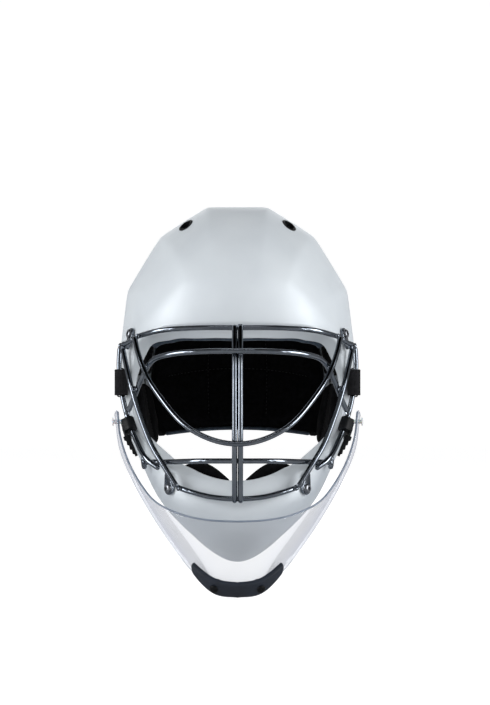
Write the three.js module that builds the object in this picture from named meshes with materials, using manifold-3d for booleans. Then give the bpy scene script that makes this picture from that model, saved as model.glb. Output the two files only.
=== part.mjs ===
// Goalkeeper helmet: faceted composite shell, wire cage, padded liner, strapped
// backplate and a hanging clear throat guard.
//
// Millimetres, +Z up, the face looks along -Y, X runs across the face.  The parts are
// laid out round the ear axis (x = y = z = 0) and the whole group is lifted at the end
// so that its bounding box stands on z = 0, centred on x = y = 0.
import * as THREE from 'three';
import { mergeVertices } from 'three/addons/utils/BufferGeometryUtils.js';
import Module from 'manifold-3d';

// ---------------------------------------------------------------- driving sizes
const CLEAR = 0.3;              // gap between neighbouring parts
const SHELL_THICK = 3;
// Width of the edge turned in round the face, at each rib.
const FLANGE_WIDTHS = [14.6, 15, 16.6, 17, 11.5, 5.5, 6.5, 8, 9.5, 10, 10];
const FLANGE_SLOPE = 0.5;       // how far the flange leans back per unit inwards
const FACE_CENTRE_Z = -15;      // the flange points at this height
const FACET_SHARPNESS = 0.85;   // 1 = dead flat facets between the crown creases
const WIRE_RADIUS = 2.5;
const WEBBING_THICK = 1.6;
const WEBBING_WIDTH = 25;
const GUARD_THICK = 3;
const SCREW_RADIUS = 2;
const PIVOT = new THREE.Vector3(117.5, -50, -36);   // throat guard pin, left-hand side

const wasm = await Module();
wasm.setup();

const V = (x, y, z) => new THREE.Vector3(x, y, z);
const points = (rows) => rows.map((row) => V(...row));
const flip = (p) => V(-p.x, p.y, p.z);

// ---------------------------------------------------------------- shell surface
// Half of the shell (x >= 0) as ribs.  Each rib runs from the face opening to the outer
// edge in six points; the ribs go round from crown centre to chin centre.
const RIBS = [
  [[0, -101, 57], [0, -93, 106], [0, -60, 153], [0, 5, 178], [0, 78, 152], [0, 124, 92]],
  [[21, -99, 57], [21, -91, 106], [26, -59, 152], [31, 5, 177.5], [33, 77, 151], [33, 122, 92]],
  [[50, -91, 56], [51, -82, 98], [62, -51, 130], [77, 5, 148.5], [75, 65, 131], [68, 108, 84]],
  [[75, -79, 53], [82, -66, 74], [98, -36, 89], [110, 5, 94.5], [107, 52, 84], [93, 91, 60]],
  [[95, -62, 40], [105, -45, 44], [113, -20, 45], [116.5, 10, 43], [113, 50, 33], [101, 85, 22]],
  [[104, -48, 0], [110, -28, -2], [114, -2, -3], [113, 30, -4], [108, 56, -5], [99, 78, -6]],
  [[97, -62, -42], [104, -45, -46], [106, -18, -51], [103, 12, -54], [97, 38, -56], [88, 62, -57]],
  [[68, -90, -74], [76, -84, -82], [81, -73, -90], [82, -61, -98], [78, -48, -105], [70, -36, -109]],
  [[46, -105, -88], [54, -107, -98], [58, -103, -110], [57, -95, -122], [53, -85, -133], [46, -74, -140]],
  [[24, -113, -97], [26, -117, -109], [27, -116, -123], [26, -111, -138], [24, -102, -151], [21, -90, -160]],
  [[0, -115, -100], [0, -119.5, -112], [0, -120, -127], [0, -115, -143], [0, -106, -157], [0, -94, -167]],
].map(points);
const LAST_RIB = RIBS.length - 1;
const CREASED_RIBS = 4;         // ribs 0-4 carry the flat crown facets

// Uniform Catmull-Rom blend of four values.
function blend4(p0, p1, p2, p3, f) {
  const tangent1 = p2.clone().sub(p0).multiplyScalar(0.5);
  const tangent2 = p3.clone().sub(p1).multiplyScalar(0.5);
  const f2 = f * f;
  const f3 = f2 * f;
  return V(0, 0, 0)
    .addScaledVector(p1, 2 * f3 - 3 * f2 + 1)
    .addScaledVector(tangent1, f3 - 2 * f2 + f)
    .addScaledVector(p2, 3 * f2 - 2 * f3)
    .addScaledVector(tangent2, f3 - f2);
}

// Point on a smooth curve through a list of points, t from 0 to 1.
function along(list, t) {
  const last = list.length - 1;
  const i = Math.min(Math.floor(t * last), last - 1);
  const before = i > 0 ? list[i - 1] : list[0].clone().multiplyScalar(2).sub(list[1]);
  const after = i + 2 <= last ? list[i + 2] : list[last].clone().multiplyScalar(2).sub(list[last - 1]);
  return blend4(before, list[i], list[i + 1], after, t * last - i);
}

// Rib by index, mirrored past the two centre ribs.
function ribPoint(index, t) {
  if (index < 0) return flip(along(RIBS[-index], t));
  if (index > LAST_RIB) return flip(along(RIBS[2 * LAST_RIB - index], t));
  return along(RIBS[index], t);
}

// Outer surface of the shell.  a counts ribs round the ring: 0 crown centre, LAST_RIB
// chin centre, negative or past LAST_RIB on the far side.  t goes from the face opening
// (0) to the outer edge (1).
function shellPoint(a, t) {
  const ring = 2 * LAST_RIB;
  const turn = ((a % ring) + ring) % ring;
  const far = turn > LAST_RIB;
  const k = far ? ring - turn : turn;
  const i = Math.min(Math.floor(k), LAST_RIB - 1);
  const f = k - i;
  const flat = ribPoint(i, t).lerp(ribPoint(i + 1, t), f);
  const round = blend4(ribPoint(i - 1, t), ribPoint(i, t), ribPoint(i + 1, t), ribPoint(i + 2, t), f);
  const creased = i < CREASED_RIBS ? FACET_SHARPNESS * THREE.MathUtils.smoothstep(t, 0.08, 0.42) : 0;
  const p = round.lerp(flat, creased);
  return far ? flip(p) : p;
}

// Surface normal of any point function, pointing away from the ear axis.
function normalOf(pointAt, u, v, du, dv) {
  const along1 = pointAt(u + du, v).sub(pointAt(u - du, v));
  const v1 = Math.min(v + dv, 1);
  const v0 = Math.max(v - dv, 0);
  const along2 = pointAt(u, v1).sub(pointAt(u, v0));
  const n = along1.cross(along2).normalize();
  const p = pointAt(u, v);
  return n.dot(V(p.x, p.y, p.z)) < 0 ? n.negate() : n;
}
const shellNormal = (a, t) => normalOf(shellPoint, a, t, 0.04, 0.01);

// ---------------------------------------------------------------- closed solids
// Signed volume of an indexed mesh.
function signedVolume(vertices, triangles) {
  let sum = 0;
  for (const [a, b, c] of triangles) {
    sum += vertices[a].dot(vertices[b].clone().cross(vertices[c]));
  }
  return sum / 6;
}

function geometryFrom(vertices, triangles) {
  const outward = signedVolume(vertices, triangles) > 0;
  const g = new THREE.BufferGeometry();
  g.setAttribute('position', new THREE.Float32BufferAttribute(vertices.flatMap((p) => [p.x, p.y, p.z]), 3));
  g.setIndex(triangles.flatMap(([a, b, c]) => (outward ? [a, b, c] : [a, c, b])));
  g.computeVertexNormals();
  return g;
}

// Skins a run of equal closed loops.  A closed run joins its last loop to its first; an
// open run is capped.  Every loop is an outer row followed by the inner row backwards,
// so a cap is a strip of quads between the two rows.
function skin(loops, closed) {
  const size = loops[0].length;
  const vertices = loops.flat();
  const triangles = [];
  const quad = (a, b, c, d) => triangles.push([a, b, c], [a, c, d]);
  const runs = closed ? loops.length : loops.length - 1;
  for (let i = 0; i < runs; i += 1) {
    const next = (i + 1) % loops.length;
    for (let j = 0; j < size; j += 1) {
      const k = (j + 1) % size;
      quad(i * size + j, next * size + j, next * size + k, i * size + k);
    }
  }
  if (!closed) {
    const last = (loops.length - 1) * size;
    for (let j = 0; j < size / 2 - 1; j += 1) {
      const k = size - 1 - j;
      quad(j, j + 1, k - 1, k);
      quad(last + k, last + k - 1, last + j + 1, last + j);
    }
  }
  return geometryFrom(vertices, triangles);
}

// A plate that follows a surface: outer and inner are distances along the normal.
function plate(pointAt, [u0, u1, nu], [v0, v1, nv], outer, inner) {
  const loops = [];
  for (let i = 0; i <= nu; i += 1) {
    const u = u0 + (u1 - u0) * (i / nu);
    const row = [];
    const back = [];
    for (let j = 0; j <= nv; j += 1) {
      const v = v0 + (v1 - v0) * (j / nv);
      const p = pointAt(u, v);
      const n = normalOf(pointAt, u, v, 0.02, 0.01);
      row.push(p.clone().addScaledVector(n, outer));
      back.unshift(p.addScaledVector(n, inner));
    }
    loops.push([...row, ...back]);
  }
  return skin(loops, false);
}

// A flat strap swept along a path; its width stays along `across`.
function ribbon(path, width, thick, across, steps) {
  const loops = [];
  for (let i = 0; i <= steps; i += 1) {
    const t = i / steps;
    const p = along(path, t);
    const tangent = along(path, Math.min(t + 0.01, 1)).sub(along(path, Math.max(t - 0.01, 0)));
    const out = tangent.cross(across).normalize().multiplyScalar(thick / 2);
    const side = across.clone().multiplyScalar(width / 2);
    loops.push([
      p.clone().add(out).add(side),
      p.clone().add(out).sub(side),
      p.clone().sub(out).sub(side),
      p.clone().sub(out).add(side),
    ]);
  }
  return skin(loops, false);
}

// Round wire along a smooth path.
function wire(path, segments, radius = WIRE_RADIUS) {
  const round = new THREE.Shape();
  const sides = 8;
  for (let i = 0; i < sides; i += 1) {
    const angle = ((i + 0.5) / sides) * 2 * Math.PI;
    const corner = [radius * Math.cos(angle), radius * Math.sin(angle)];
    if (i === 0) round.moveTo(...corner);
    else round.lineTo(...corner);
  }
  round.closePath();
  const curve = new THREE.CatmullRomCurve3(path);
  return new THREE.ExtrudeGeometry(round, { steps: segments, extrudePath: curve, curveSegments: 1 });
}

// Turned part standing on +Z; profile rows are [radius, height] and close on the axis.
function turned(profile, segments = 12) {
  return new THREE.LatheGeometry(profile.map(([r, z]) => new THREE.Vector2(r, z)), segments)
    .rotateX(Math.PI / 2);
}

// Extruded outline, centred on its thickness.
function slab(outline, thick, bevel = 0) {
  return new THREE.ExtrudeGeometry(outline, {
    depth: thick - 2 * bevel,
    bevelEnabled: bevel > 0,
    bevelThickness: bevel,
    bevelSize: bevel,
    bevelOffset: -bevel,
    bevelSegments: 1,
    curveSegments: 8,
  }).translate(0, 0, bevel - thick / 2);
}

// Turns +Z onto a direction, with local +X kept as close as possible to `right`.
function place(geometry, origin, direction, right = V(0, 0, 1)) {
  const z = direction.clone().normalize();
  const x = right.clone().addScaledVector(z, -right.dot(z)).normalize();
  const y = z.clone().cross(x);
  return geometry.applyMatrix4(new THREE.Matrix4().makeBasis(x, y, z).setPosition(origin));
}

const mirrored = (geometry) => {
  const g = mergeVertices(bare(geometry)).clone().scale(-1, 1, 1);
  const index = g.getIndex().array;
  for (let i = 0; i < index.length; i += 3) {
    [index[i + 1], index[i + 2]] = [index[i + 2], index[i + 1]];
  }
  g.computeVertexNormals();
  return g;
};

function bare(geometry) {
  const g = geometry.clone();
  g.deleteAttribute('normal');
  g.deleteAttribute('uv');
  return g;
}

function toManifold(geometry) {
  const g = mergeVertices(bare(geometry), 1e-4);
  return new wasm.Manifold(new wasm.Mesh({
    numProp: 3,
    vertProperties: new Float32Array(g.getAttribute('position').array),
    triVerts: new Uint32Array(g.getIndex().array),
  }));
}

// Cuts a list of tools out of a body.
function cut(body, tools) {
  let solid = toManifold(body);
  for (const tool of tools) {
    solid = solid.subtract(toManifold(tool));
  }
  const mesh = solid.getMesh();
  const g = new THREE.BufferGeometry();
  g.setAttribute('position', new THREE.BufferAttribute(new Float32Array(mesh.vertProperties), 3));
  g.setIndex(Array.from(mesh.triVerts));
  g.computeVertexNormals();
  return g;
}

// ---------------------------------------------------------------- shell
const SHELL_COLUMNS = 60;
const SHELL_ROWS = 10;

// Where the turned-in flange points at one place on the face edge.
function flangeDirection(edge) {
  return V(-edge.x, 0, FACE_CENTRE_Z - edge.z).normalize().add(V(0, FLANGE_SLOPE, 0)).normalize();
}

function flangeLength(a) {
  const around = Math.abs(a) % (2 * LAST_RIB);
  const place = around > LAST_RIB ? 2 * LAST_RIB - around : around;
  const rib = Math.min(Math.floor(place), LAST_RIB - 1);
  const f = place - rib;
  return THREE.MathUtils.lerp(FLANGE_WIDTHS[rib], FLANGE_WIDTHS[rib + 1], f * f * (3 - 2 * f));
}

function shellBlank() {
  const loops = [];
  for (let i = 0; i < SHELL_COLUMNS; i += 1) {
    const a = (i / SHELL_COLUMNS) * 2 * LAST_RIB;
    const outer = [];
    const inner = [];
    for (let j = 0; j <= SHELL_ROWS; j += 1) {
      const t = j / SHELL_ROWS;
      const p = shellPoint(a, t);
      outer.push(p);
      inner.unshift(p.clone().addScaledVector(shellNormal(a, t), -SHELL_THICK));
    }
    const edge = outer[0];
    const upwards = outer[1].clone().sub(edge).normalize();
    const inwards = shellNormal(a, 0).negate();
    const lip = flangeDirection(edge);
    const backwards = inwards.clone().add(upwards);
    backwards.addScaledVector(lip, -backwards.dot(lip)).normalize();
    const tip = edge.clone().addScaledVector(lip, flangeLength(a));
    const tipBack = tip.clone().addScaledVector(backwards, SHELL_THICK);
    inner.pop();
    const corner = edge.clone().addScaledVector(inwards, SHELL_THICK).addScaledVector(upwards, SHELL_THICK);
    loops.push([tip, ...outer, ...inner, corner, tipBack]);
  }
  return skin(loops, true);
}

const LUGS = {
  top: { a: 3.86, t: 0.19, right: V(0, 0, 1) },
  chin: { a: 7.7, t: 0.27, right: V(-0.3, 0, -1) },
};

// Hole through the shell at a surface point.
function shellDrill(a, t, radius) {
  const drill = turned([[0, -20], [radius, -20], [radius, 20], [0, 20]], 12);
  return place(drill, shellPoint(a, t), shellNormal(a, t));
}

function ovalDrill(a, t, width, length) {
  const oval = new THREE.Shape();
  oval.absellipse(0, 0, width / 2, length / 2, 0, 2 * Math.PI);
  return place(slab(oval, 24), shellPoint(a, t), shellNormal(a, t), V(1, 0, 0));
}

const VENT = { a: 1.52, t: 0.51, width: 13, length: 17 };
const EAR_PORTS = [[5.25, 0.53], [5.6, 0.46], [5.6, 0.6], [5.95, 0.53]];

function shell() {
  const tools = [];
  for (const side of [1, -1]) {
    for (const lug of Object.values(LUGS)) {
      tools.push(shellDrill(side * lug.a, lug.t, SCREW_RADIUS + CLEAR));
    }
    tools.push(ovalDrill(side * VENT.a, VENT.t, VENT.width, VENT.length));
    for (const [a, t] of EAR_PORTS) {
      tools.push(shellDrill(side * a, t, 5));
    }
  }
  return cut(shellBlank(), tools);
}

// ---------------------------------------------------------------- liner
const PAD_BACKING = 1.8;         // hook tape between shell and pads
const LINER_FACE = -(SHELL_THICK + PAD_BACKING);

function liner(aRange, tRange, thick) {
  return plate(shellPoint, aRange, tRange, LINER_FACE, LINER_FACE - thick);
}

// Slate sweatband that shows just inside the flange, from temple to temple.
const SWEATBAND = { reach: 3.9, behind: 12, thick: 6, showBrow: 3.2, showTemple: 6.5 };
function sweatband() {
  const band = (u, v) => {
    const a = SWEATBAND.reach * u;
    const edge = shellPoint(a, 0);
    const inwards = V(-edge.x, 0, FACE_CENTRE_Z - edge.z).normalize();
    const show = THREE.MathUtils.lerp(SWEATBAND.showBrow, SWEATBAND.showTemple, u * u);
    const depth = THREE.MathUtils.lerp(3, 0.89 * flangeLength(a) + show, v);
    return edge.addScaledVector(inwards, depth).add(V(0, SWEATBAND.behind, 0));
  };
  return plate(band, [-1, 1, 24], [0, 1, 2], 0, -SWEATBAND.thick);
}

// Wedge pad inside the chin cup, rising to a hump beside the centre.
function chinPad() {
  const pad = (u, v) => {
    const x = THREE.MathUtils.lerp(7, 55, u);
    const top = -90 + 17 * Math.sin(Math.PI * Math.min(1, 0.74 * u));
    return V(x, -104 + 12 * (x / 50) ** 2, THREE.MathUtils.lerp(top, -112, v));
  };
  return plate(pad, [0, 1, 8], [0, 1, 3], 0, -11);
}

// Pad under the crown, flat underneath.
const CROWN_PAD_FLOOR = 142;
function crownPad() {
  const loops = [];
  const columns = 6;
  const rows = 6;
  for (let i = 0; i <= columns; i += 1) {
    const a = -1.3 + 2.6 * (i / columns);
    const top = [];
    const floor = [];
    for (let j = 0; j <= rows; j += 1) {
      const t = 0.48 + 0.2 * (j / rows);
      const p = shellPoint(a, t).addScaledVector(shellNormal(a, t), LINER_FACE);
      top.push(p);
      floor.unshift(V(p.x, p.y, CROWN_PAD_FLOOR));
    }
    loops.push([...top, ...floor]);
  }
  return skin(loops, false);
}

// ---------------------------------------------------------------- backplate
const BACKPLATE = { halfWidth: 97, top: 84, bottom: -44, thick: 3, wrap: 47 };

// u across from -1 to 1, v from the top edge (0) to the bottom edge (1).
function backplatePoint(u, v) {
  const z = THREE.MathUtils.lerp(BACKPLATE.top, BACKPLATE.bottom, v) - u * u * (17 * (1 - v) + 7 * v);
  const arch = Math.sin(Math.PI * (0.15 + 0.7 * v));
  const width = BACKPLATE.halfWidth * (0.8 + 0.2 * arch + 0.06 * v ** 3);
  const x = width * u;
  const bulge = 131 + 9 * arch - 14 * v * v;
  const y = bulge - BACKPLATE.wrap * Math.abs(u) ** 2.4;
  return V(x, y, z);
}

function backplate() {
  return plate(backplatePoint, [-1, 1, 16], [0, 1, 10], 0, -BACKPLATE.thick);
}

function backplatePad() {
  const face = -(BACKPLATE.thick + CLEAR);
  return plate(backplatePoint, [-1, 1, 16], [0.04, 1.06, 8], face, face - 13);
}

// Moulded tab on the backplate that takes the end of a side strap.
function strapAnchor() {
  return plate(backplatePoint, [0.62, 0.77, 3], [0.49, 0.7, 3], CLEAR + 2.5, CLEAR);
}

// Tab in the middle of the top edge, under the end of the top strap.
function topTab() {
  return plate(backplatePoint, [-0.15, 0.15, 4], [0.03, 0.17, 2], CLEAR + 2.5, CLEAR);
}

// ---------------------------------------------------------------- cage
const half = (list) => [...points(list).slice(1).reverse().map(flip), ...points(list)];

const CAGE = {
  top: [[0, -107, 52.5], [40, -103, 52.5], [74, -89, 50.5], [97, -70, 45.5]],
  brow: [[0, -139.4, 29.7], [34, -134.6, 29.4], [64, -117.6, 27], [80, -102, 21.5],
    [91, -88, 4], [98.5, -77.5, -13], [104.6, -69.2, -26]],
  eye: [[0, -154.7, -54.7], [22, -152.1, -51.2], [48, -142.3, -37.8], [77, -117.3, -4.8],
    [88, -102, 14], [94, -91, 30], [98, -78.5, 45]],
  lower: [[0, -141.6, -70.6], [34, -132, -71], [67, -102.5, -73], [81, -87, -73.6], [87, -79, -74.5]],
  chin: [[0, -127.9, -106], [24, -124, -104.5], [42, -117, -100.5], [54, -110, -97]],
  centre: [[2.66, -112.6, 54.4], [2.66, -133.6, 30.8], [2.66, -148.3, -15], [2.66, -149.4, -53],
    [2.66, -146.9, -71.3], [2.66, -133.3, -109.4]],
  side: [[111.5, -57.6, 38.5], [106.6, -71, 19.4], [99.5, -86.6, -6.5], [90.3, -94.5, -33.8],
    [80.5, -101.4, -57.2], [70.4, -108, -73.8], [56, -115.6, -96]],
  perimeter: [[113.7, -50.4, 36.6], [114.4, -53, 16], [110.5, -60, -12], [104, -66.5, -36],
    [96, -78.5, -54], [86, -95, -70], [73, -103.5, -79.5]],
};

function cageBars() {
  const bars = {
    cage_bar_top: wire(half(CAGE.top), 22),
    cage_bar_brow: wire(half(CAGE.brow), 34),
    cage_bar_eye: wire(half(CAGE.eye), 32),
    cage_bar_lower: wire(half(CAGE.lower), 26),
    cage_bar_chin: wire(half(CAGE.chin), 16),
  };
  const pairs = {
    cage_bar_centre: wire(points(CAGE.centre), 14),
    cage_bar_side: wire(points(CAGE.side), 16),
    cage_bar_perimeter: wire(points(CAGE.perimeter), 16),
    cage_link: wire(points([[109.4, -61.9, 38.7], [104.5, -68, 40.2], [100.9, -73.8, 41.8]]), 2),
    cage_stub: wire(points([[89.2, -77, -68], [89.4, -76.2, -74.5], [88.4, -75, -81]]), 2),
  };
  return { bars, pairs };
}

// Flattened teardrop end of the cage frame with its screw hole.
const LUG = { length: 12.5, wide: 6, narrow: 3, thick: 2.5 };
function lug(spot) {
  const drop = new THREE.Shape();
  drop.absarc(0, 0, LUG.wide, -Math.PI * 0.62, Math.PI * 0.62, false);
  drop.absarc(-LUG.length, 0, LUG.narrow, Math.PI * 0.55, -Math.PI * 0.55, false);
  drop.closePath();
  const hole = new THREE.Path();
  hole.absarc(0, 0, SCREW_RADIUS + CLEAR, 0, 2 * Math.PI, true);
  drop.holes.push(hole);
  const n = shellNormal(spot.a, spot.t);
  const seat = shellPoint(spot.a, spot.t).addScaledVector(n, CLEAR + LUG.thick / 2);
  return place(slab(drop, LUG.thick), seat, n, spot.right);
}

// Button-head screw through lug and shell.
const SCREW = { head: 4.4, headHeight: 2.4, socket: 1.6, reach: 8 };
function cageScrew(spot) {
  const seat = 2 * CLEAR + LUG.thick;
  const profile = [
    [0, seat - SCREW.reach],
    [SCREW_RADIUS, seat - SCREW.reach],
    [SCREW_RADIUS, seat],
    [SCREW.head, seat],
    [SCREW.head, seat + 0.8],
    [SCREW.head * 0.72, seat + SCREW.headHeight],
    [SCREW.socket, seat + SCREW.headHeight],
    [SCREW.socket, seat + 0.9],
    [0, seat + 0.9],
  ];
  return place(turned(profile), shellPoint(spot.a, spot.t), shellNormal(spot.a, spot.t));
}

// Round flanged nut on the inside of the shell.
function cageNut(spot) {
  const face = -(SHELL_THICK + 1.2);
  const bore = SCREW_RADIUS + CLEAR;
  const profile = [
    [bore, face],
    [bore, face - 3.6],
    [3.6, face - 3.6],
    [3.6, face - 1.2],
    [5.2, face - 1.2],
    [5.2, face],
    [bore, face],
  ];
  return place(turned(profile), shellPoint(spot.a, spot.t), shellNormal(spot.a, spot.t));
}

// ---------------------------------------------------------------- throat guard
const GUARD_UPPER = points([
  [0, -150, -125], [25, -147, -124], [50, -136, -120], [75, -116, -110],
  [91, -96, -94], [104, -80, -73], [112.5, -69, -49], [115.5, -62, -24],
]);
const GUARD_LOWER = points([
  [0, -133, -194], [20, -131.5, -191], [42, -121, -172.5], [60, -104, -151],
  [79, -80, -126], [96, -59, -99], [112, -44, -67], [119.5, -36, -26],
]);

// u from -1 (far arm) through the chin to 1, v from the upper edge to the lower edge.
function guardPoint(u, v) {
  const t = Math.abs(u);
  const upper = along(GUARD_UPPER, t);
  const lower = along(GUARD_LOWER, t);
  const bulge = 6 * Math.sin(Math.PI * v) * (1 - t * t);
  const p = upper.lerp(lower, v).add(V(bulge * t * 0.7, -bulge, 0));
  return u < 0 ? flip(p) : p;
}

function throatGuard() {
  const blank = plate(guardPoint, [-1, 1, 30], [0, 1, 6], GUARD_THICK / 2, -GUARD_THICK / 2);
  const bore = turned([[0, -15], [SCREW_RADIUS + CLEAR, -15], [SCREW_RADIUS + CLEAR, 15], [0, 15]], 12);
  const tools = [1, -1].map((side) => place(bore.clone(), V(side * PIVOT.x, PIVOT.y, PIVOT.z), V(1, 0, 0)));
  return cut(blank, [...tools, ...rivetSpots().map(([p, n]) => place(bore.clone(), p, n))]);
}

// Rubber strip along the bottom of the guard.
const BUMPER = { reach: 0.245, thick: 6, rivet: 0.13 };
function throatBumper() {
  const seat = GUARD_THICK / 2 + CLEAR;
  const smile = (u, v) => {
    const tip = (u / BUMPER.reach) ** 2;
    const top = THREE.MathUtils.lerp(0.785, 0.685, tip);
    const bottom = THREE.MathUtils.lerp(0.985, 0.835, tip ** 2);
    return guardPoint(u, THREE.MathUtils.lerp(top, bottom, v));
  };
  const across = [-BUMPER.reach, BUMPER.reach, 14];
  const blank = plate(smile, across, [0, 1, 4], seat + BUMPER.thick, seat);
  const bore = turned([[0, -15], [SCREW_RADIUS + CLEAR, -15], [SCREW_RADIUS + CLEAR, 15], [0, 15]], 12);
  return cut(blank, rivetSpots().map(([p, n]) => place(bore.clone(), p, n)));
}

function rivetSpots() {
  const sides = [BUMPER.rivet, -BUMPER.rivet];
  return sides.map((u) => [guardPoint(u, 0.88), normalOf(guardPoint, u, 0.88, 0.02, 0.01)]);
}

function bumperRivet([p, n]) {
  const back = -GUARD_THICK / 2 - 3 * CLEAR;
  const front = GUARD_THICK / 2 + BUMPER.thick + 2.5 * CLEAR;
  const profile = [
    [0, back - 1.4],
    [4, back - 1.4],
    [4, back],
    [SCREW_RADIUS, back],
    [SCREW_RADIUS, front],
    [4, front],
    [3, front + 1.4],
    [0, front + 1.8],
  ];
  return place(turned(profile), p, n);
}

// ---------------------------------------------------------------- guard clips
// Moulded clamp on the perimeter bar; its boss carries the guard pin.
const CLIP_SPOT = 0.52;         // place along the perimeter bar
function clipFrame() {
  const path = new THREE.CatmullRomCurve3(points(CAGE.perimeter));
  const origin = path.getPoint(CLIP_SPOT);
  const up = path.getTangent(CLIP_SPOT).negate();
  return { origin, up };
}

function guardClip() {
  const { origin, up } = clipFrame();
  const outline = new THREE.Shape();
  outline.absarc(0, 0, 5.6, Math.PI * 0.45, Math.PI * 1.75, false);
  outline.lineTo(7, -3);
  outline.lineTo(7, 21);
  outline.lineTo(1, 21);
  outline.closePath();
  const hole = new THREE.Path();
  hole.absarc(0, 0, WIRE_RADIUS + 0.6, 0, 2 * Math.PI, true);
  outline.holes.push(hole);
  const body = place(slab(outline, 13, 0.8), origin, up, V(1, 0, 0));
  const bore = turned([[0, -30], [SCREW_RADIUS + CLEAR, -30], [SCREW_RADIUS + CLEAR, 30], [0, 30]], 12);
  return cut(body, [place(bore, PIVOT, V(1, 0, 0))]);
}

// Toothed tail that hooks the clamp shut.
const LATCH = { length: 22, root: 6, tip: 2.5, teeth: 4, tooth: 1.5, thick: 7 };
function clipLatch() {
  const outline = new THREE.Shape();
  outline.moveTo(0, 0);
  outline.lineTo(LATCH.root, 0);
  for (let i = 1; i <= LATCH.teeth; i += 1) {
    const down = LATCH.length * (i / (LATCH.teeth + 0.5));
    const x = THREE.MathUtils.lerp(LATCH.root, LATCH.tip, i / (LATCH.teeth + 0.5));
    outline.lineTo(x + LATCH.tooth * 0.6, down - 1);
    outline.lineTo(x - LATCH.tooth * 0.4, down);
  }
  outline.lineTo(LATCH.tip, LATCH.length);
  outline.lineTo(0, LATCH.length);
  outline.closePath();
  const { origin } = clipFrame();
  const seat = origin.clone().add(V(0.6, -2.3, -9.5));
  return place(slab(outline, LATCH.thick), seat, V(0, 1, 0), V(1, 0, -0.42));
}

function guardPin() {
  const outside = GUARD_THICK / 2 + 1.2;
  const profile = [
    [0, -13],
    [SCREW_RADIUS, -13],
    [SCREW_RADIUS, outside],
    [4.2, outside],
    [4.2, outside + 0.6],
    [3.4, outside + 1.4],
    [0, outside + 1.4],
  ];
  return place(turned(profile), PIVOT, V(1, 0, 0));
}

// ---------------------------------------------------------------- straps
const STRAP_HEIGHT = 2;
const UP = V(0, 0, 1);

function strapRun(rows, steps) {
  const path = rows.map(([x, y]) => V(x, y, STRAP_HEIGHT));
  return ribbon(path, WEBBING_WIDTH, WEBBING_THICK, UP, steps);
}

// Side strap: through the slider, round the edge wire and back along the shell.
function sideStrap() {
  return strapRun([
    [115.2, -17], [112.9, -32], [112.6, -43], [110.4, -51], [106.5, -57.5], [108.5, -64.5],
    [115.2, -63.5], [117.9, -54], [115.4, -45.5], [115.1, -38], [115.5, -30], [117.8, -16], [118.8, 8],
    [118, 34], [113, 62], [105.4, 84],
  ], 34);
}

// Its rear end, which goes with the backplate when that swings out.
function strapTail() {
  return strapRun([[104.7, 85.2], [97.8, 96.6], [88.6, 105], [78.2, 111.6]], 9);
}

// Two-slot slider over both runs of the side strap.
function strapSlider() {
  const outline = new THREE.Shape();
  const halfX = 3.8;
  const halfZ = WEBBING_WIDTH / 2 + 1.8;
  outline.moveTo(-halfX, -halfZ);
  outline.lineTo(halfX, -halfZ);
  outline.lineTo(halfX, halfZ);
  outline.lineTo(-halfX, halfZ);
  outline.closePath();
  const hole = new THREE.Path();
  const slotX = halfX - 1.1;
  const slotZ = halfZ - 1.4;
  hole.moveTo(-slotX, -slotZ);
  hole.lineTo(-slotX, slotZ);
  hole.lineTo(slotX, slotZ);
  hole.lineTo(slotX, -slotZ);
  hole.closePath();
  outline.holes.push(hole);
  return place(slab(outline, 9), V(113.9, -37.5, STRAP_HEIGHT), V(0, 1, 0), V(1, 0, 0));
}

function strapTop() {
  const path = points([[0, 110.5, 123], [0, 120, 111], [0, 129, 99], [0, 136, 88.5]]);
  return ribbon(path, WEBBING_WIDTH, WEBBING_THICK, V(1, 0, 0), 10);
}

// ---------------------------------------------------------------- assembly
const MATERIALS = {
  shell: { color: 0xc9ccd0, roughness: 0.3, metalness: 0.2 },
  steel: { color: 0x3a3d42, roughness: 0.18, metalness: 0.95 },
  screw: { color: 0xb9bcc0, roughness: 0.3, metalness: 0.95 },
  clear: { color: 0xc4cad6, roughness: 0.08, metalness: 0 },
  rubber: { color: 0x181b2a, roughness: 0.55, metalness: 0 },
  plastic: { color: 0x121315, roughness: 0.45, metalness: 0 },
  foam: { color: 0x17181b, roughness: 0.9, metalness: 0 },
  trim: { color: 0x2b3a4b, roughness: 0.85, metalness: 0 },
  webbing: { color: 0x0f1012, roughness: 0.8, metalness: 0 },
};

const helmet = new THREE.Group();
helmet.name = 'goalkeeper_helmet';

function add(name, geometry, material) {
  const mesh = new THREE.Mesh(geometry, new THREE.MeshStandardMaterial(MATERIALS[material]));
  mesh.name = name;
  helmet.add(mesh);
}

function addPair(name, geometry, material) {
  add(`${name}_left`, geometry, material);
  add(`${name}_right`, mirrored(geometry), material);
}

function addShellAndLiner() {
  add('shell', shell(), 'shell');
  add('pad_crown', crownPad(), 'foam');
  add('pad_forehead', liner([-2.9, 2.9, 16], [0.1, 0.36, 4], 13), 'foam');
  add('sweatband', sweatband(), 'trim');
  addPair('pad_side', liner([3.02, 4.7, 6], [0.26, 0.95, 7], 16), 'foam');
  addPair('pad_cheek', liner([4.85, 6.25, 5], [0.16, 0.95, 7], 14), 'foam');
  addPair('pad_chin', chinPad(), 'foam');
}

function addBackplate() {
  add('backplate', backplate(), 'shell');
  add('pad_backplate', backplatePad(), 'foam');
  add('strap_top', strapTop(), 'webbing');
  addPair('strap_side', sideStrap(), 'webbing');
  addPair('strap_tail', strapTail(), 'webbing');
  addPair('strap_slider', strapSlider(), 'plastic');
  addPair('strap_anchor', strapAnchor(), 'plastic');
  add('backplate_tab', topTab(), 'plastic');
}

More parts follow.
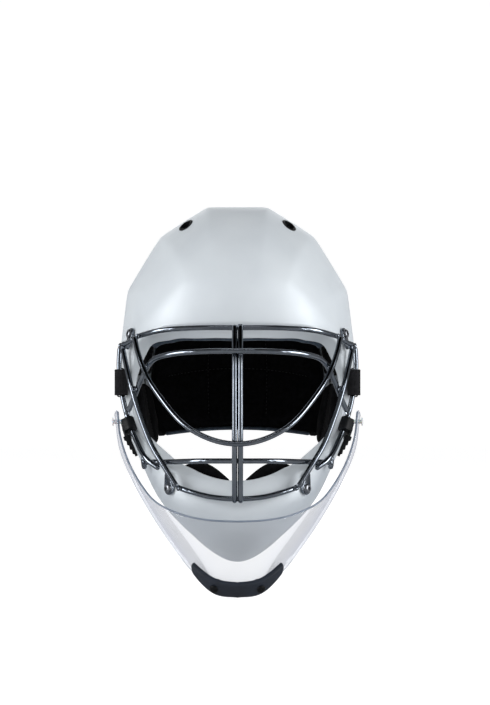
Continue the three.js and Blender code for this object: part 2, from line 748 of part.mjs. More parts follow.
function addCage() {
  const { bars, pairs } = cageBars();
  for (const [name, geometry] of Object.entries(bars)) {
    add(name, geometry, 'steel');
  }
  for (const [name, geometry] of Object.entries(pairs)) {
    addPair(name, geometry, 'steel');
  }
  for (const [name, spot] of Object.entries(LUGS)) {
    addPair(`cage_lug_${name}`, lug(spot), 'steel');
    addPair(`cage_screw_${name}`, cageScrew(spot), 'screw');
    addPair(`cage_nut_${name}`, cageNut(spot), 'screw');
  }
}

function addThroatGuard() {
  add('throat_guard', throatGuard(), 'clear');
  add('throat_bumper', throatBumper(), 'rubber');
  const [left] = rivetSpots();
  addPair('bumper_rivet', bumperRivet(left), 'plastic');
  addPair('guard_clip', guardClip(), 'plastic');
  addPair('clip_latch', clipLatch(), 'plastic');
  addPair('guard_pin', guardPin(), 'plastic');
}

addShellAndLiner();
addBackplate();
addCage();
addThroatGuard();

// Stand the helmet on z = 0, centred.
const bounds = new THREE.Box3().setFromObject(helmet);
const middle = bounds.getCenter(V(0, 0, 0));
for (const mesh of helmet.children) {
  mesh.geometry.translate(-middle.x, -middle.y, -bounds.min.z);
}

export default helmet;
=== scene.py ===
# Looks of the goalkeeper helmet: dense shell, wire cage, padded liner, webbing and the
# clear throat guard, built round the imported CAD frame.
import math

import bmesh
import bpy
import numpy as np
from mathutils import Matrix, Vector
from mathutils.bvhtree import BVHTree


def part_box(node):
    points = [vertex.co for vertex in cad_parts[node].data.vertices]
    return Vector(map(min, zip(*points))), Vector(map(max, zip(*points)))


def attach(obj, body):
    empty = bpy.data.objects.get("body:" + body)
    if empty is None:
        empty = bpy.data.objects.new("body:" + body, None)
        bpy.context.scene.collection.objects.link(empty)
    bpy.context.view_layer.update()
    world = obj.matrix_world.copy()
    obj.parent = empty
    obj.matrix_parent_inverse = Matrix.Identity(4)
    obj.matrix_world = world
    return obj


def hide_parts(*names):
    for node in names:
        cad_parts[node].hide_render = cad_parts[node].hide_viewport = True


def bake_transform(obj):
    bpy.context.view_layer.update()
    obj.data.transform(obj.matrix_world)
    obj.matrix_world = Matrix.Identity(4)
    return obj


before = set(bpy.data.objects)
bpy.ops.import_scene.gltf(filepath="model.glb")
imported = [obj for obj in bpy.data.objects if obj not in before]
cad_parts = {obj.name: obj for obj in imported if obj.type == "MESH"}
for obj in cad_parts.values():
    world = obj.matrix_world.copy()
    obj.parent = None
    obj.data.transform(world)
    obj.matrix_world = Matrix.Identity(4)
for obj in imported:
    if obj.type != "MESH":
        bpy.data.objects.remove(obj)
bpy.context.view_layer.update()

# ------------------------------------------------------------------ sizes, millimetres
# Shapes are laid out round the ear axis, as in the CAD source; the pin of the throat
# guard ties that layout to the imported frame.
MM = 0.001
GUARD_PIVOT = np.array([117.5, -50.0, -36.0])
pin_low, pin_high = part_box("guard_pin_left")
pin_middle = np.array((pin_low + pin_high) / 2) / MM
SHIFT = np.array([0.0, pin_middle[1] - GUARD_PIVOT[1], pin_middle[2] - GUARD_PIVOT[2]])

SHELL_THICK = 3.0
# Width of the edge turned in round the face, at each rib.
FLANGE_WIDTHS = [14.6, 15, 16.6, 17, 11.5, 5.5, 6.5, 8, 9.5, 10, 10]
FLANGE_SLOPE = 0.5
FACE_CENTRE_Z = -15.0
FACET_SHARPNESS = 0.85
WIRE_RADIUS = 2.5
GUARD_THICK = 3.0
BACKPLATE_THICK = 3.0
WEBBING_WIDTH = 25.0
WEBBING_THICK = 1.6
PAD_FACE = -4.8              # liner pads start this far inside the shell

UP = np.array([0.0, 0.0, 1.0])

# Half of the shell as ribs from the face opening to the outer edge, crown to chin.
RIBS = np.array([
    [[0, -101, 57], [0, -93, 106], [0, -60, 153], [0, 5, 178], [0, 78, 152], [0, 124, 92]],
    [[21, -99, 57], [21, -91, 106], [26, -59, 152], [31, 5, 177.5], [33, 77, 151], [33, 122, 92]],
    [[50, -91, 56], [51, -82, 98], [62, -51, 130], [77, 5, 148.5], [75, 65, 131], [68, 108, 84]],
    [[75, -79, 53], [82, -66, 74], [98, -36, 89], [110, 5, 94.5], [107, 52, 84], [93, 91, 60]],
    [[95, -62, 40], [105, -45, 44], [113, -20, 45], [116.5, 10, 43], [113, 50, 33], [101, 85, 22]],
    [[104, -48, 0], [110, -28, -2], [114, -2, -3], [113, 30, -4], [108, 56, -5], [99, 78, -6]],
    [[97, -62, -42], [104, -45, -46], [106, -18, -51], [103, 12, -54], [97, 38, -56], [88, 62, -57]],
    [[68, -90, -74], [76, -84, -82], [81, -73, -90], [82, -61, -98], [78, -48, -105], [70, -36, -109]],
    [[46, -105, -88], [54, -107, -98], [58, -103, -110], [57, -95, -122], [53, -85, -133], [46, -74, -140]],
    [[24, -113, -97], [26, -117, -109], [27, -116, -123], [26, -111, -138], [24, -102, -151], [21, -90, -160]],
    [[0, -115, -100], [0, -119.5, -112], [0, -120, -127], [0, -115, -143], [0, -106, -157], [0, -94, -167]],
], float)
LAST_RIB = len(RIBS) - 1
RING = 2 * LAST_RIB
CREASED_RIBS = 4
MIRROR = np.array([-1.0, 1.0, 1.0])
RING_RIBS = np.concatenate([RIBS, RIBS[-2:0:-1] * MIRROR])   # all the way round


# ------------------------------------------------------------------ curves and surfaces
def hermite(p0, p1, p2, p3, f):
    """Uniform Catmull-Rom blend between p1 and p2."""
    m1 = (p2 - p0) / 2
    m2 = (p3 - p1) / 2
    f2, f3 = f * f, f * f * f
    return p1 * (2 * f3 - 3 * f2 + 1) + m1 * (f3 - 2 * f2 + f) + p2 * (3 * f2 - 2 * f3) + m2 * (f3 - f2)


def along(rows, t):
    """Points on smooth curves through rows (n, k, 3), one curve for each t in 0..1."""
    last = rows.shape[1] - 1
    before = 2 * rows[:, :1] - rows[:, 1:2]
    after = 2 * rows[:, -1:] - rows[:, -2:-1]
    padded = np.concatenate([before, rows, after], axis=1)
    i = np.clip((t * last).astype(int), 0, last - 1)
    f = (t * last - i)[:, None]
    each = np.arange(len(t))
    return hermite(padded[each, i], padded[each, i + 1], padded[each, i + 2], padded[each, i + 3], f)


def smoothstep(t, low, high):
    x = np.clip((t - low) / (high - low), 0, 1)
    return x * x * (3 - 2 * x)


def sharp_shell(a, t):
    """Outer shell surface with hard creases at ring places a and heights t."""
    i = np.floor(a).astype(int)
    f = (a - i)[:, None]
    p0, p1, p2, p3 = (along(RING_RIBS[(i + k) % RING], t) for k in (-1, 0, 1, 2))
    flat = p1 * (1 - f) + p2 * f
    smooth = hermite(p0, p1, p2, p3, f)
    interval = i % RING
    creased = np.minimum(interval, RING - 1 - interval) < CREASED_RIBS
    share = (FACET_SHARPNESS * smoothstep(t, 0.08, 0.42) * creased)[:, None]
    return smooth * (1 - share) + flat * share


CREASE_SOFTNESS = 0.07       # in ribs; rounds each crease over about 5 mm


def both_arrays(a, t):
    a, t = np.broadcast_arrays(np.atleast_1d(np.asarray(a, float)), np.asarray(t, float))
    return a, t


def shell_point(a, t):
    a, t = both_arrays(a, t)
    around = sharp_shell(a - CREASE_SOFTNESS, t) + sharp_shell(a + CREASE_SOFTNESS, t)
    return around / 4 + sharp_shell(a, t) / 2


def normals_of(point, u, v, du=0.03, dv=0.01):
    """Unit normals of the surface point(u, v), facing away from the ears."""
    u, v = both_arrays(u, v)
    across = point(u + du, v) - point(u - du, v)
    down = point(u, np.minimum(v + dv, 1)) - point(u, np.maximum(v - dv, 0))
    n = np.cross(across, down)
    n /= np.linalg.norm(n, axis=1)[:, None]
    flip = np.sign(np.sum(n * point(u, v), axis=1))
    return n * flip[:, None]


def centripetal_run(rows, steps=40):
    """The centripetal Catmull-Rom curve through rows, steps points to each stretch."""
    rows = np.asarray(rows, float)
    padded = np.vstack([2 * rows[0] - rows[1], rows, 2 * rows[-1] - rows[-2]])
    fine = []
    for i in range(len(rows) - 1):
        p0, p1, p2, p3 = padded[i:i + 4]
        d0, d1, d2 = (math.sqrt(np.linalg.norm(b - a)) for a, b in ((p0, p1), (p1, p2), (p2, p3)))
        m1 = ((p1 - p0) / d0 - (p2 - p0) / (d0 + d1) + (p2 - p1) / d1) * d1
        m2 = ((p2 - p1) / d1 - (p3 - p1) / (d1 + d2) + (p3 - p2) / d2) * d1
        f = np.linspace(0, 1, steps, endpoint=False)[:, None]
        f2, f3 = f * f, f * f * f
        fine.append(p1 * (2 * f3 - 3 * f2 + 1) + m1 * (f3 - 2 * f2 + f)
                    + p2 * (3 * f2 - 2 * f3) + m2 * (f3 - f2))
    return np.vstack(fine + [rows[-1:]])


def centripetal(rows, spacing):
    return resample(centripetal_run(rows), spacing)


def resample(points, spacing):
    steps = np.linalg.norm(np.diff(points, axis=0), axis=1)
    length = np.concatenate([[0], np.cumsum(steps)])
    count = max(2, int(round(length[-1] / spacing)) + 1)
    at = np.linspace(0, length[-1], count)
    return np.column_stack([np.interp(at, length, points[:, k]) for k in range(3)])


def edge_heavy(count, share=0.75):
    """count + 1 values from 0 to 1, crowded towards both ends."""
    x = np.linspace(0, 1, count + 1)
    return (1 - share) * x + share * (1 - np.cos(math.pi * x)) / 2


def between(low, high, count):
    return low + (high - low) * edge_heavy(count)


# ------------------------------------------------------------------ mesh helpers
def to_row(points):
    return (np.asarray(points, float).reshape(-1, 3) + SHIFT) * MM


def add_mesh(name, points, faces, material, body, replaced=(), uvs=None, slot=None):
    """A smooth-shaded mesh from millimetre points, riding on a CAD body."""
    mesh = bpy.data.meshes.new(name)
    mesh.from_pydata(to_row(points).tolist(), [], faces)
    if uvs is not None:
        layer = mesh.uv_layers.new(name="UVMap")
        index = np.zeros(len(mesh.loops), int)
        mesh.loops.foreach_get("vertex_index", index)
        layer.data.foreach_set("uv", np.asarray(uvs, float).reshape(-1, 2)[index].ravel())
    mesh.validate()
    obj = bpy.data.objects.new(name, mesh)
    bpy.context.scene.collection.objects.link(obj)
    obj.data.materials.append(material)
    tidy_normals(obj)
    if body:
        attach(obj, body)
    if replaced:
        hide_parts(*replaced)
    return obj


def tidy_normals(obj, angle=40):
    work = bmesh.new()
    work.from_mesh(obj.data)
    bmesh.ops.remove_doubles(work, verts=work.verts, dist=2e-6)
    bmesh.ops.recalc_face_normals(work, faces=work.faces)
    for face in work.faces:
        face.smooth = True
    limit = math.radians(angle)
    for edge in work.edges:
        edge.smooth = not edge.is_manifold or edge.calc_face_angle(0) < limit
    work.to_mesh(obj.data)
    work.free()


def grid_faces(columns, rows, wrap_columns=False, wrap_rows=False):
    faces = []
    for i in range(columns if wrap_columns else columns - 1):
        for j in range(rows if wrap_rows else rows - 1):
            a, b = i * rows + j, ((i + 1) % columns) * rows + j
            c, d = ((i + 1) % columns) * rows + (j + 1) % rows, i * rows + (j + 1) % rows
            faces.append((a, b, c, d))
    return faces


def run_modifiers(obj):
    """Bakes every modifier on obj into its mesh."""
    graph = bpy.context.evaluated_depsgraph_get()
    baked = bpy.data.meshes.new_from_object(obj.evaluated_get(graph))
    obj.modifiers.clear()
    obj.data = baked


def sheet(name, point, u_values, v_values, thick, radius, material, body,
          offset=0.0, dome=0.0, corner=0.0, **extra):
    """A closed plate or pad with rounded edges that follows point(u, v).

    thick is its full thickness, radius its edge rounding, dome extra swelling on the
    inside and corner how much its plan corners are drawn in."""
    u_mid, v_mid = (u_values[0] + u_values[-1]) / 2, (v_values[0] + v_values[-1]) / 2
    u_half, v_half = (u_values[-1] - u_values[0]) / 2, (v_values[-1] - v_values[0]) / 2
    s, t = np.meshgrid((u_values - u_mid) / u_half, (v_values - v_mid) / v_half, indexing="ij")
    u = (u_mid + u_half * s * np.sqrt(1 - corner * t * t / 2)).ravel()
    v = (v_mid + v_half * t * np.sqrt(1 - corner * s * s / 2)).ravel()
    shape = (len(u_values), len(v_values), 3)
    middle = point(u, v).reshape(shape)
    normal = normals_of(point, u, v).reshape(shape)
    along_u = edge_distance(middle, 0)
    along_v = edge_distance(middle, 1)
    near = np.minimum(along_u, along_v)
    x = np.clip(near / radius, 0, 1)
    swell = np.sqrt(1 - (1 - x) ** 2)
    crown = np.sqrt(np.sin(math.pi * along_u / along_u.max() / 2).clip(0, 1)
                    * np.sin(math.pi * along_v / along_v.max() / 2).clip(0, 1)) * dome
    middle = middle + normal * offset
    outer = middle + normal * (thick / 2 * swell)[..., None]
    inner = middle - normal * ((thick / 2) * swell + crown)[..., None]
    faces = grid_faces(*shape[:2])
    shift = shape[0] * shape[1]
    faces += [tuple(k + shift for k in reversed(f)) for f in grid_faces(*shape[:2])]
    flat = np.stack([cumulative(middle, 0), cumulative(middle, 1)], axis=-1)
    uvs = np.concatenate([flat.reshape(-1, 2), flat.reshape(-1, 2)])
    return add_mesh(name, np.concatenate([outer.reshape(-1, 3), inner.reshape(-1, 3)]),
                    faces, material, body, uvs=uvs, **extra)


def cumulative(points, axis):
    """Distance run along a grid axis, in millimetres."""
    steps = np.linalg.norm(np.diff(points, axis=axis), axis=2)
    start = np.zeros_like(np.take(steps, [0], axis=axis))
    return np.concatenate([start, np.cumsum(steps, axis=axis)], axis=axis)


def edge_distance(points, axis):
    run = cumulative(points, axis)
    return np.minimum(run, np.take(run, [-1], axis=axis) - run)


def tube(name, path, radius, material, body, sides=18, spacing=2.5, **extra):
    """A round rod along a path, with rounded ends."""
    run = np.concatenate([[0], np.cumsum(np.linalg.norm(np.diff(path, axis=0), axis=1))])
    turn = np.linspace(0, math.pi / 2, 6)[:-1]
    cap = radius * (1 - np.cos(turn))
    body_count = max(2, int(run[-1] / spacing))
    straight = np.linspace(radius, run[-1] - radius, body_count)
    stations = np.concatenate([cap, straight, run[-1] - cap[::-1]])
    radii = np.concatenate([radius * np.sin(turn), np.full(body_count, radius),
                            radius * np.sin(turn[::-1])]).clip(0.02)
    centre = np.column_stack([np.interp(stations, run, path[:, k]) for k in range(3)])
    tangent = np.gradient(centre, stations, axis=0)
    tangent /= np.linalg.norm(tangent, axis=1)[:, None]
    side = np.cross(tangent[0], UP if abs(tangent[0][2]) < 0.9 else [1.0, 0, 0])
    angle = np.linspace(0, 2 * math.pi, sides, endpoint=False)[:, None]
    rings = []
    for middle, direction, r in zip(centre, tangent, radii):
        side = side - direction * np.dot(side, direction)
        side /= np.linalg.norm(side)
        other = np.cross(direction, side)
        rings.append(middle + r * (np.cos(angle) * side + np.sin(angle) * other))
    faces = grid_faces(len(rings), sides, wrap_rows=True)
    faces.append(tuple(range(sides)))
    faces.append(tuple((len(rings) - 1) * sides + k for k in reversed(range(sides))))
    return add_mesh(name, np.vstack(rings), faces, material, body, **extra)


def basis(direction, right):
    z = np.asarray(direction, float) / np.linalg.norm(direction)
    x = np.asarray(right, float) - z * np.dot(right, z)
    x /= np.linalg.norm(x)
    return np.column_stack([x, np.cross(z, x), z])


def turned(name, profile, origin, direction, material, body, segments=48, **extra):
    """A lathe part; profile rows are (radius, height along direction)."""
    axes = basis(direction, UP if abs(direction[2]) < 0.9 else [1.0, 0, 0])
    angle = np.linspace(0, 2 * math.pi, segments, endpoint=False)
    rows = []
    for a in angle:
        ring = [[max(r, 0.005) * math.cos(a), max(r, 0.005) * math.sin(a), h] for r, h in profile]
        rows.append(np.asarray(ring) @ axes.T + origin)
    faces = grid_faces(segments, len(profile), wrap_columns=True)
    faces.append(tuple(i * len(profile) for i in range(segments)))
    faces.append(tuple(i * len(profile) + len(profile) - 1 for i in reversed(range(segments))))
    return add_mesh(name, np.vstack(rows), faces, material, body, **extra)


def slab(name, outline, thick, bevel, origin, direction, right, material, body, **extra):
    """An extruded outline with rounded edges."""
    axes = basis(direction, right)
    count = len(outline)
    flat = [[x, y, z] for z in (-thick / 2, thick / 2) for x, y in outline]
    points = np.asarray(flat, float) @ axes.T + origin
    faces = [tuple(reversed(range(count))), tuple(range(count, 2 * count))]
    faces += [(k, (k + 1) % count, count + (k + 1) % count, count + k) for k in range(count)]
    obj = add_mesh(name, points, faces, material, body, **extra)
    round_edges(obj, bevel)
    return obj


def round_edges(obj, width, segments=3):
    modifier = obj.modifiers.new("rounding", "BEVEL")
    modifier.width = width * MM
    modifier.segments = segments
    modifier.limit_method = "ANGLE"
    modifier.angle_limit = math.radians(35)
    modifier.harden_normals = False
    run_modifiers(obj)
    tidy_normals(obj)


# ------------------------------------------------------------------ materials
def new_material(name, color, roughness, metallic=0.0):
    material = bpy.data.materials.new(name)
    material.use_nodes = True
    shader = material.node_tree.nodes["Principled BSDF"]
    shader.inputs["Base Color"].default_value = (*color, 1)
    shader.inputs["Roughness"].default_value = roughness
    shader.inputs["Metallic"].default_value = metallic
    return material, shader


def add_node(material, kind, **values):
    node = material.node_tree.nodes.new(kind)
    for key, value in values.items():
        if key in node.inputs:
            node.inputs[key].default_value = value
        else:
            setattr(node, key, value)
    return node


def link(material, source, output, target, socket):
    material.node_tree.links.new(source.outputs[output], target.inputs[socket])


def object_coordinates(material, scale=(1, 1, 1)):
    place = add_node(material, "ShaderNodeTexCoord")
    mapping = add_node(material, "ShaderNodeMapping")
    mapping.inputs["Scale"].default_value = scale
    link(material, place, "Object", mapping, "Vector")
    return mapping


def noise(material, scale, detail=4.0, stretch=(1, 1, 1)):
    texture = add_node(material, "ShaderNodeTexNoise", Scale=scale, Detail=detail)
    link(material, object_coordinates(material, stretch), "Vector", texture, "Vector")
    return texture


def vary_color(material, shader, texture, low, high):
    """Base colour runs between two colours with a texture."""
    ramp = add_node(material, "ShaderNodeValToRGB")
    ramp.color_ramp.elements[0].position = 0.35
    ramp.color_ramp.elements[1].position = 0.68
    ramp.color_ramp.elements[0].color = (*low, 1)
    ramp.color_ramp.elements[1].color = (*high, 1)
    link(material, texture, "Fac", ramp, "Fac")
    link(material, ramp, "Color", shader, "Base Color")


def vary_roughness(material, shader, texture, low, high):
    spread = add_node(material, "ShaderNodeMapRange")
    spread.inputs["To Min"].default_value = low
    spread.inputs["To Max"].default_value = high
    link(material, texture, "Fac", spread, "Value")
    link(material, spread, "Result", shader, "Roughness")


def add_bump(material, shader, texture, output, strength, depth):
    """Adds a bump of depth millimetres; further bumps stack on the earlier one."""
    bump = add_node(material, "ShaderNodeBump", Strength=strength, Distance=depth * MM)
    link(material, texture, output, bump, "Height")
    earlier = shader.inputs["Normal"].links
    if earlier:
        link(material, earlier[0].from_node, "Normal", bump, "Normal")
    link(material, bump, "Normal", shader, "Normal")


def shell_paint():
    """Satin silver paint with fine metallic flake under a soft lacquer."""
    material, shader = new_material("satin_silver_paint", (0.60, 0.62, 0.65), 0.36, 0.2)
    vary_color(material, shader, noise(material, 18, 3), (0.560, 0.602, 0.640), (0.600, 0.642, 0.675))
    vary_roughness(material, shader, noise(material, 60, 5), 0.46, 0.58)
    add_bump(material, shader, noise(material, 900, 2), "Fac", 0.10, 0.05)
    add_bump(material, shader, noise(material, 45, 2), "Fac", 0.06, 0.25)
    shader.inputs["Coat Weight"].default_value = 0.1
    shader.inputs["Coat Roughness"].default_value = 0.3
    return material


def cage_chrome():
    """Dark chrome over drawn wire: smooth, with faint draw lines and duller patches."""
    material, shader = new_material("dark_chrome", (0.18, 0.20, 0.23), 0.1, 1.0)
    vary_color(material, shader, noise(material, 70, 4), (0.15, 0.17, 0.20), (0.21, 0.232, 0.262))
    vary_roughness(material, shader, noise(material, 130, 5), 0.06, 0.16)
    add_bump(material, shader, noise(material, 420, 4), "Fac", 0.12, 0.06)
    return material


def plated_steel():
    material, shader = new_material("plated_steel", (0.22, 0.23, 0.25), 0.28, 1.0)
    vary_roughness(material, shader, noise(material, 300, 4), 0.22, 0.40)
    add_bump(material, shader, noise(material, 900, 3), "Fac", 0.15, 0.04)
    return material


def clear_plastic():
    """Clear sheet: see-through face on, faintly milky, bluer where it turns edge-on."""
    material, shader = new_material("clear_polycarbonate", (0.80, 0.84, 0.92), 0.06)
    tree = material.node_tree
    facing = add_node(material, "ShaderNodeLayerWeight", Blend=0.25)
    tint = add_node(material, "ShaderNodeValToRGB")
    tint.color_ramp.elements[0].color = (0.89, 0.895, 0.90, 1)
    tint.color_ramp.elements[1].position = 0.95
    tint.color_ramp.elements[1].color = (0.78, 0.80, 0.88, 1)
    link(material, facing, "Facing", tint, "Fac")
    through = add_node(material, "ShaderNodeBsdfTransparent")
    link(material, tint, "Color", through, "Color")
    haze = add_node(material, "ShaderNodeBsdfDiffuse", Color=(0.86, 0.87, 0.92, 1))
    milky = add_node(material, "ShaderNodeMixShader", Fac=0.08)
    gloss = add_node(material, "ShaderNodeBsdfGlossy", Roughness=0.05)
    fresnel = add_node(material, "ShaderNodeFresnel", IOR=1.35)
    scuffs = add_node(material, "ShaderNodeBump", Strength=0.05, Distance=0.05 * MM)
    link(material, noise(material, 260, 6, (1, 1, 3)), "Fac", scuffs, "Height")
    link(material, scuffs, "Normal", gloss, "Normal")
    mixed = add_node(material, "ShaderNodeMixShader")
    softened = add_node(material, "ShaderNodeMath", operation="MULTIPLY")
    softened.inputs[1].default_value = 0.4
    link(material, fresnel, "Fac", softened, 0)
    link(material, softened, "Value", mixed, 0)
    tree.links.new(through.outputs[0], milky.inputs[1])
    tree.links.new(haze.outputs[0], milky.inputs[2])
    tree.links.new(milky.outputs[0], mixed.inputs[1])
    tree.links.new(gloss.outputs[0], mixed.inputs[2])
    tree.links.new(mixed.outputs[0], tree.nodes["Material Output"].inputs["Surface"])
    tree.nodes.remove(shader)
    return material


def cut_edge():
    """Sawn edge of the clear sheet, where the light gathers blue-grey."""
    material, shader = new_material("clear_sheet_edge", (0.30, 0.36, 0.46), 0.3)
    vary_color(material, shader, noise(material, 120, 4), (0.26, 0.32, 0.42), (0.36, 0.42, 0.52))
    add_bump(material, shader, noise(material, 900, 3), "Fac", 0.3, 0.05)
    shader.inputs["Transmission Weight"].default_value = 0.5
    return material


def moulded_rubber():
    material, shader = new_material("navy_rubber", (0.005, 0.009, 0.018), 0.5)
    vary_color(material, shader, noise(material, 55, 3), (0.004, 0.008, 0.016), (0.007, 0.013, 0.026))
    vary_roughness(material, shader, noise(material, 120, 5), 0.45, 0.62)
    add_bump(material, shader, noise(material, 1400, 3), "Fac", 0.35, 0.08)
    shader.inputs["Sheen Weight"].default_value = 0.03
    shader.inputs["Sheen Tint"].default_value = (0.45, 0.4, 0.8, 1)
    return material


def moulded_plastic():
    material, shader = new_material("black_moulding", (0.003, 0.0035, 0.0045), 0.42)
    vary_roughness(material, shader, noise(material, 200, 5), 0.36, 0.55)
    add_bump(material, shader, noise(material, 1100, 4), "Fac", 0.3, 0.06)
    shader.inputs["Specular IOR Level"].default_value = 0.15
    return material


def pale_nylon():
    """Undyed nylon of the guard's pivot pins, with fine mould grain."""
    material, shader = new_material("pale_nylon", (0.62, 0.64, 0.67), 0.4)
    vary_roughness(material, shader, noise(material, 200, 5), 0.34, 0.5)
    add_bump(material, shader, noise(material, 1100, 4), "Fac", 0.2, 0.05)
    shader.inputs["Subsurface Weight"].default_value = 0.2
    return material


def weave(material, shader, pitch, depth, strength=0.6):
    """Plain weave: two crossed sets of ribs, pitch millimetres apart."""
    for stretch in ((1, 1, 0.15), (0.15, 0.15, 1)):
        ribs = add_node(material, "ShaderNodeTexWave", Scale=math.pi / (pitch * MM) / 10, Distortion=0.6)
        ribs.inputs["Detail Scale"].default_value = 3
        link(material, object_coordinates(material, stretch), "Vector", ribs, "Vector")
        add_bump(material, shader, ribs, "Fac", strength, depth)


def liner_fabric():
    """Brushed black lining over foam."""
    material, shader = new_material("black_lining", (0.005, 0.005, 0.006), 0.95)
    vary_color(material, shader, noise(material, 240, 6), (0.0012, 0.0012, 0.0015), (0.004, 0.004, 0.005))
    weave(material, shader, 1.1, 0.15)
    add_bump(material, shader, noise(material, 700, 6), "Fac", 0.5, 0.2)
    shader.inputs["Sheen Weight"].default_value = 0.01
    shader.inputs["Specular IOR Level"].default_value = 0.08
    return material


def slate_fabric():
    """Towelling sweatband and piping."""
    material, shader = new_material("slate_towelling", (0.022, 0.036, 0.056), 0.92)
    vary_color(material, shader, noise(material, 300, 6), (0.015, 0.026, 0.042), (0.034, 0.052, 0.075))
    add_bump(material, shader, noise(material, 1000, 5), "Fac", 0.8, 0.4)
    weave(material, shader, 1.6, 0.2)
    shader.inputs["Sheen Weight"].default_value = 0.08
    return material


def strap_webbing():
    """Woven nylon: herringbone ribs from the strap's own UV map, in millimetres."""
    material, shader = new_material("black_webbing", (0.003, 0.003, 0.004), 0.78)
    place = add_node(material, "ShaderNodeTexCoord")
    for turn, pitch in ((0.6, 1.4), (-0.6, 1.4), (math.pi / 2, 2.2)):
        mapping = add_node(material, "ShaderNodeMapping")
        mapping.inputs["Rotation"].default_value = (0, 0, turn)
        link(material, place, "UV", mapping, "Vector")
        ribs = add_node(material, "ShaderNodeTexWave", Scale=math.pi / pitch / 10, Distortion=0.3)
        link(material, mapping, "Vector", ribs, "Vector")
        add_bump(material, shader, ribs, "Fac", 0.55, 0.18)
    vary_color(material, shader, noise(material, 500, 4), (0.003, 0.003, 0.004), (0.009, 0.009, 0.011))
    shader.inputs["Specular IOR Level"].default_value = 0.15
    return material


def stitch_thread():
    material, shader = new_material("thread", (0.005, 0.005, 0.006), 0.8)
    add_bump(material, shader, noise(material, 2500, 2), "Fac", 0.6, 0.1)
    return material


PAINT = shell_paint()
CHROME = cage_chrome()
PLATED = plated_steel()
CLEAR = clear_plastic()
CUT_EDGE = cut_edge()
RUBBER = moulded_rubber()
PLASTIC = moulded_plastic()
NYLON = pale_nylon()
LINING = liner_fabric()
SLATE = slate_fabric()
WEBBING = strap_webbing()
THREAD = stitch_thread()


# ------------------------------------------------------------------ shell
SHELL_COLUMNS = 260
SHELL_ROWS = 72
FILLET = 3.2


def inwards_from(edge):
    """Direction in the plane of the face opening, from its edge to its middle."""
    to_middle = np.array([-edge[0], 0, FACE_CENTRE_Z - edge[2]])
    return to_middle / np.linalg.norm(to_middle)


def flange_direction(edge):
    lean = inwards_from(edge) + [0, FLANGE_SLOPE, 0]
    return lean / np.linalg.norm(lean)


def flange_length(a):
    around = abs(a) % (2 * LAST_RIB)
    place = min(around, 2 * LAST_RIB - around)
    rib = min(int(place), LAST_RIB - 1)
    return FLANGE_WIDTHS[rib] + (FLANGE_WIDTHS[rib + 1] - FLANGE_WIDTHS[rib]) * smoothstep(place - rib, 0, 1)


def bend(start, corner, end, count=5):
    """Rounded corner between two straight runs."""
    f = np.linspace(0, 1, count)[:, None]
    return start * (1 - f) ** 2 + corner * 2 * f * (1 - f) + end * f ** 2


def half_round(first, second, outwards, count=6):
    """Half circle from first to second, bulging outwards."""
    centre, radius = (first + second) / 2, np.linalg.norm(first - second) / 2
    angle = np.linspace(0, math.pi, count + 1)[1:-1, None]
    start = (first - second) / (2 * radius)
    return centre + radius * (np.cos(angle) * start + np.sin(angle) * outwards)


def shell_section(a):
    """One closed section of the shell wall, from flange tip over the crown and back."""
    length = np.linalg.norm(np.diff(shell_point(a, np.linspace(0, 1, 30)), axis=0), axis=1).sum()
    t = FILLET / length + (1 - FILLET / length) * np.linspace(0, 1, SHELL_ROWS)
    outer = shell_point(a, t)
    inner = outer - normals_of(shell_point, a, t) * SHELL_THICK
    edge = shell_point(a, 0)[0]
    inwards = -normals_of(shell_point, a, 0)[0]
    upwards = (outer[0] - edge) / np.linalg.norm(outer[0] - edge)
    lip = flange_direction(edge)
    back = inwards + upwards
    back -= lip * np.dot(back, lip)
    back /= np.linalg.norm(back)
    tip = edge + lip * flange_length(a)
    corner = bend(edge + lip * FILLET, edge, outer[0], 7)
    hollow = edge + (inwards + upwards) * SHELL_THICK
    inner_run = inner[::-1][:-1]
    tail = (outer[-1] - outer[-2]) / np.linalg.norm(outer[-1] - outer[-2])
    lip_end = half_round(tip + back * SHELL_THICK, tip, lip)
    shell_end = half_round(outer[-1], inner[-1], tail)
    return np.vstack([corner, outer[1:], shell_end, inner_run, hollow[None],
                      (tip + back * SHELL_THICK)[None], lip_end, tip[None]])


VENT = {"a": 1.52, "t": 0.51, "width": 13.0, "length": 17.0}
EAR_PORTS = [(5.25, 0.53), (5.6, 0.46), (5.6, 0.6), (5.95, 0.53)]
EAR_PORT_RADIUS = 5.0


def across_shell(a):
    """Direction that an opening's width runs in."""
    return [1.0, 0, 0] if a % RING < 4 or a % RING > 16 else UP


def plug(a, t, width, length):
    """Points and faces of an oval plug through the shell wall."""
    axes = basis(normals_of(shell_point, a, t)[0], across_shell(a))
    angle = np.linspace(0, 2 * math.pi, 40, endpoint=False)
    oval = [[width / 2 * math.cos(w), length / 2 * math.sin(w), 0] for w in angle]
    points = np.vstack([np.array(oval) + [0, 0, z] for z in (-9, 9)]) @ axes.T
    count = len(oval)
    faces = [tuple(reversed(range(count))), tuple(range(count, 2 * count))]
    faces += [(k, (k + 1) % count, count + (k + 1) % count, count + k) for k in range(count)]
    return points + shell_point(a, t), faces


def drill(obj, plugs):
    """Cuts the plugs out of obj in one go."""
    points, faces = [], []
    for plug_points, plug_faces in plugs:
        shift = len(points)
        points.extend(plug_points)
        faces.extend(tuple(k + shift for k in face) for face in plug_faces)
    tool = add_mesh("drill", points, faces, PAINT, None)
    modifier = obj.modifiers.new("openings", "BOOLEAN")
    modifier.object = tool
    modifier.solver = "EXACT"
    bpy.context.view_layer.update()
    run_modifiers(obj)
    bpy.data.objects.remove(tool)
    tidy_normals(obj)


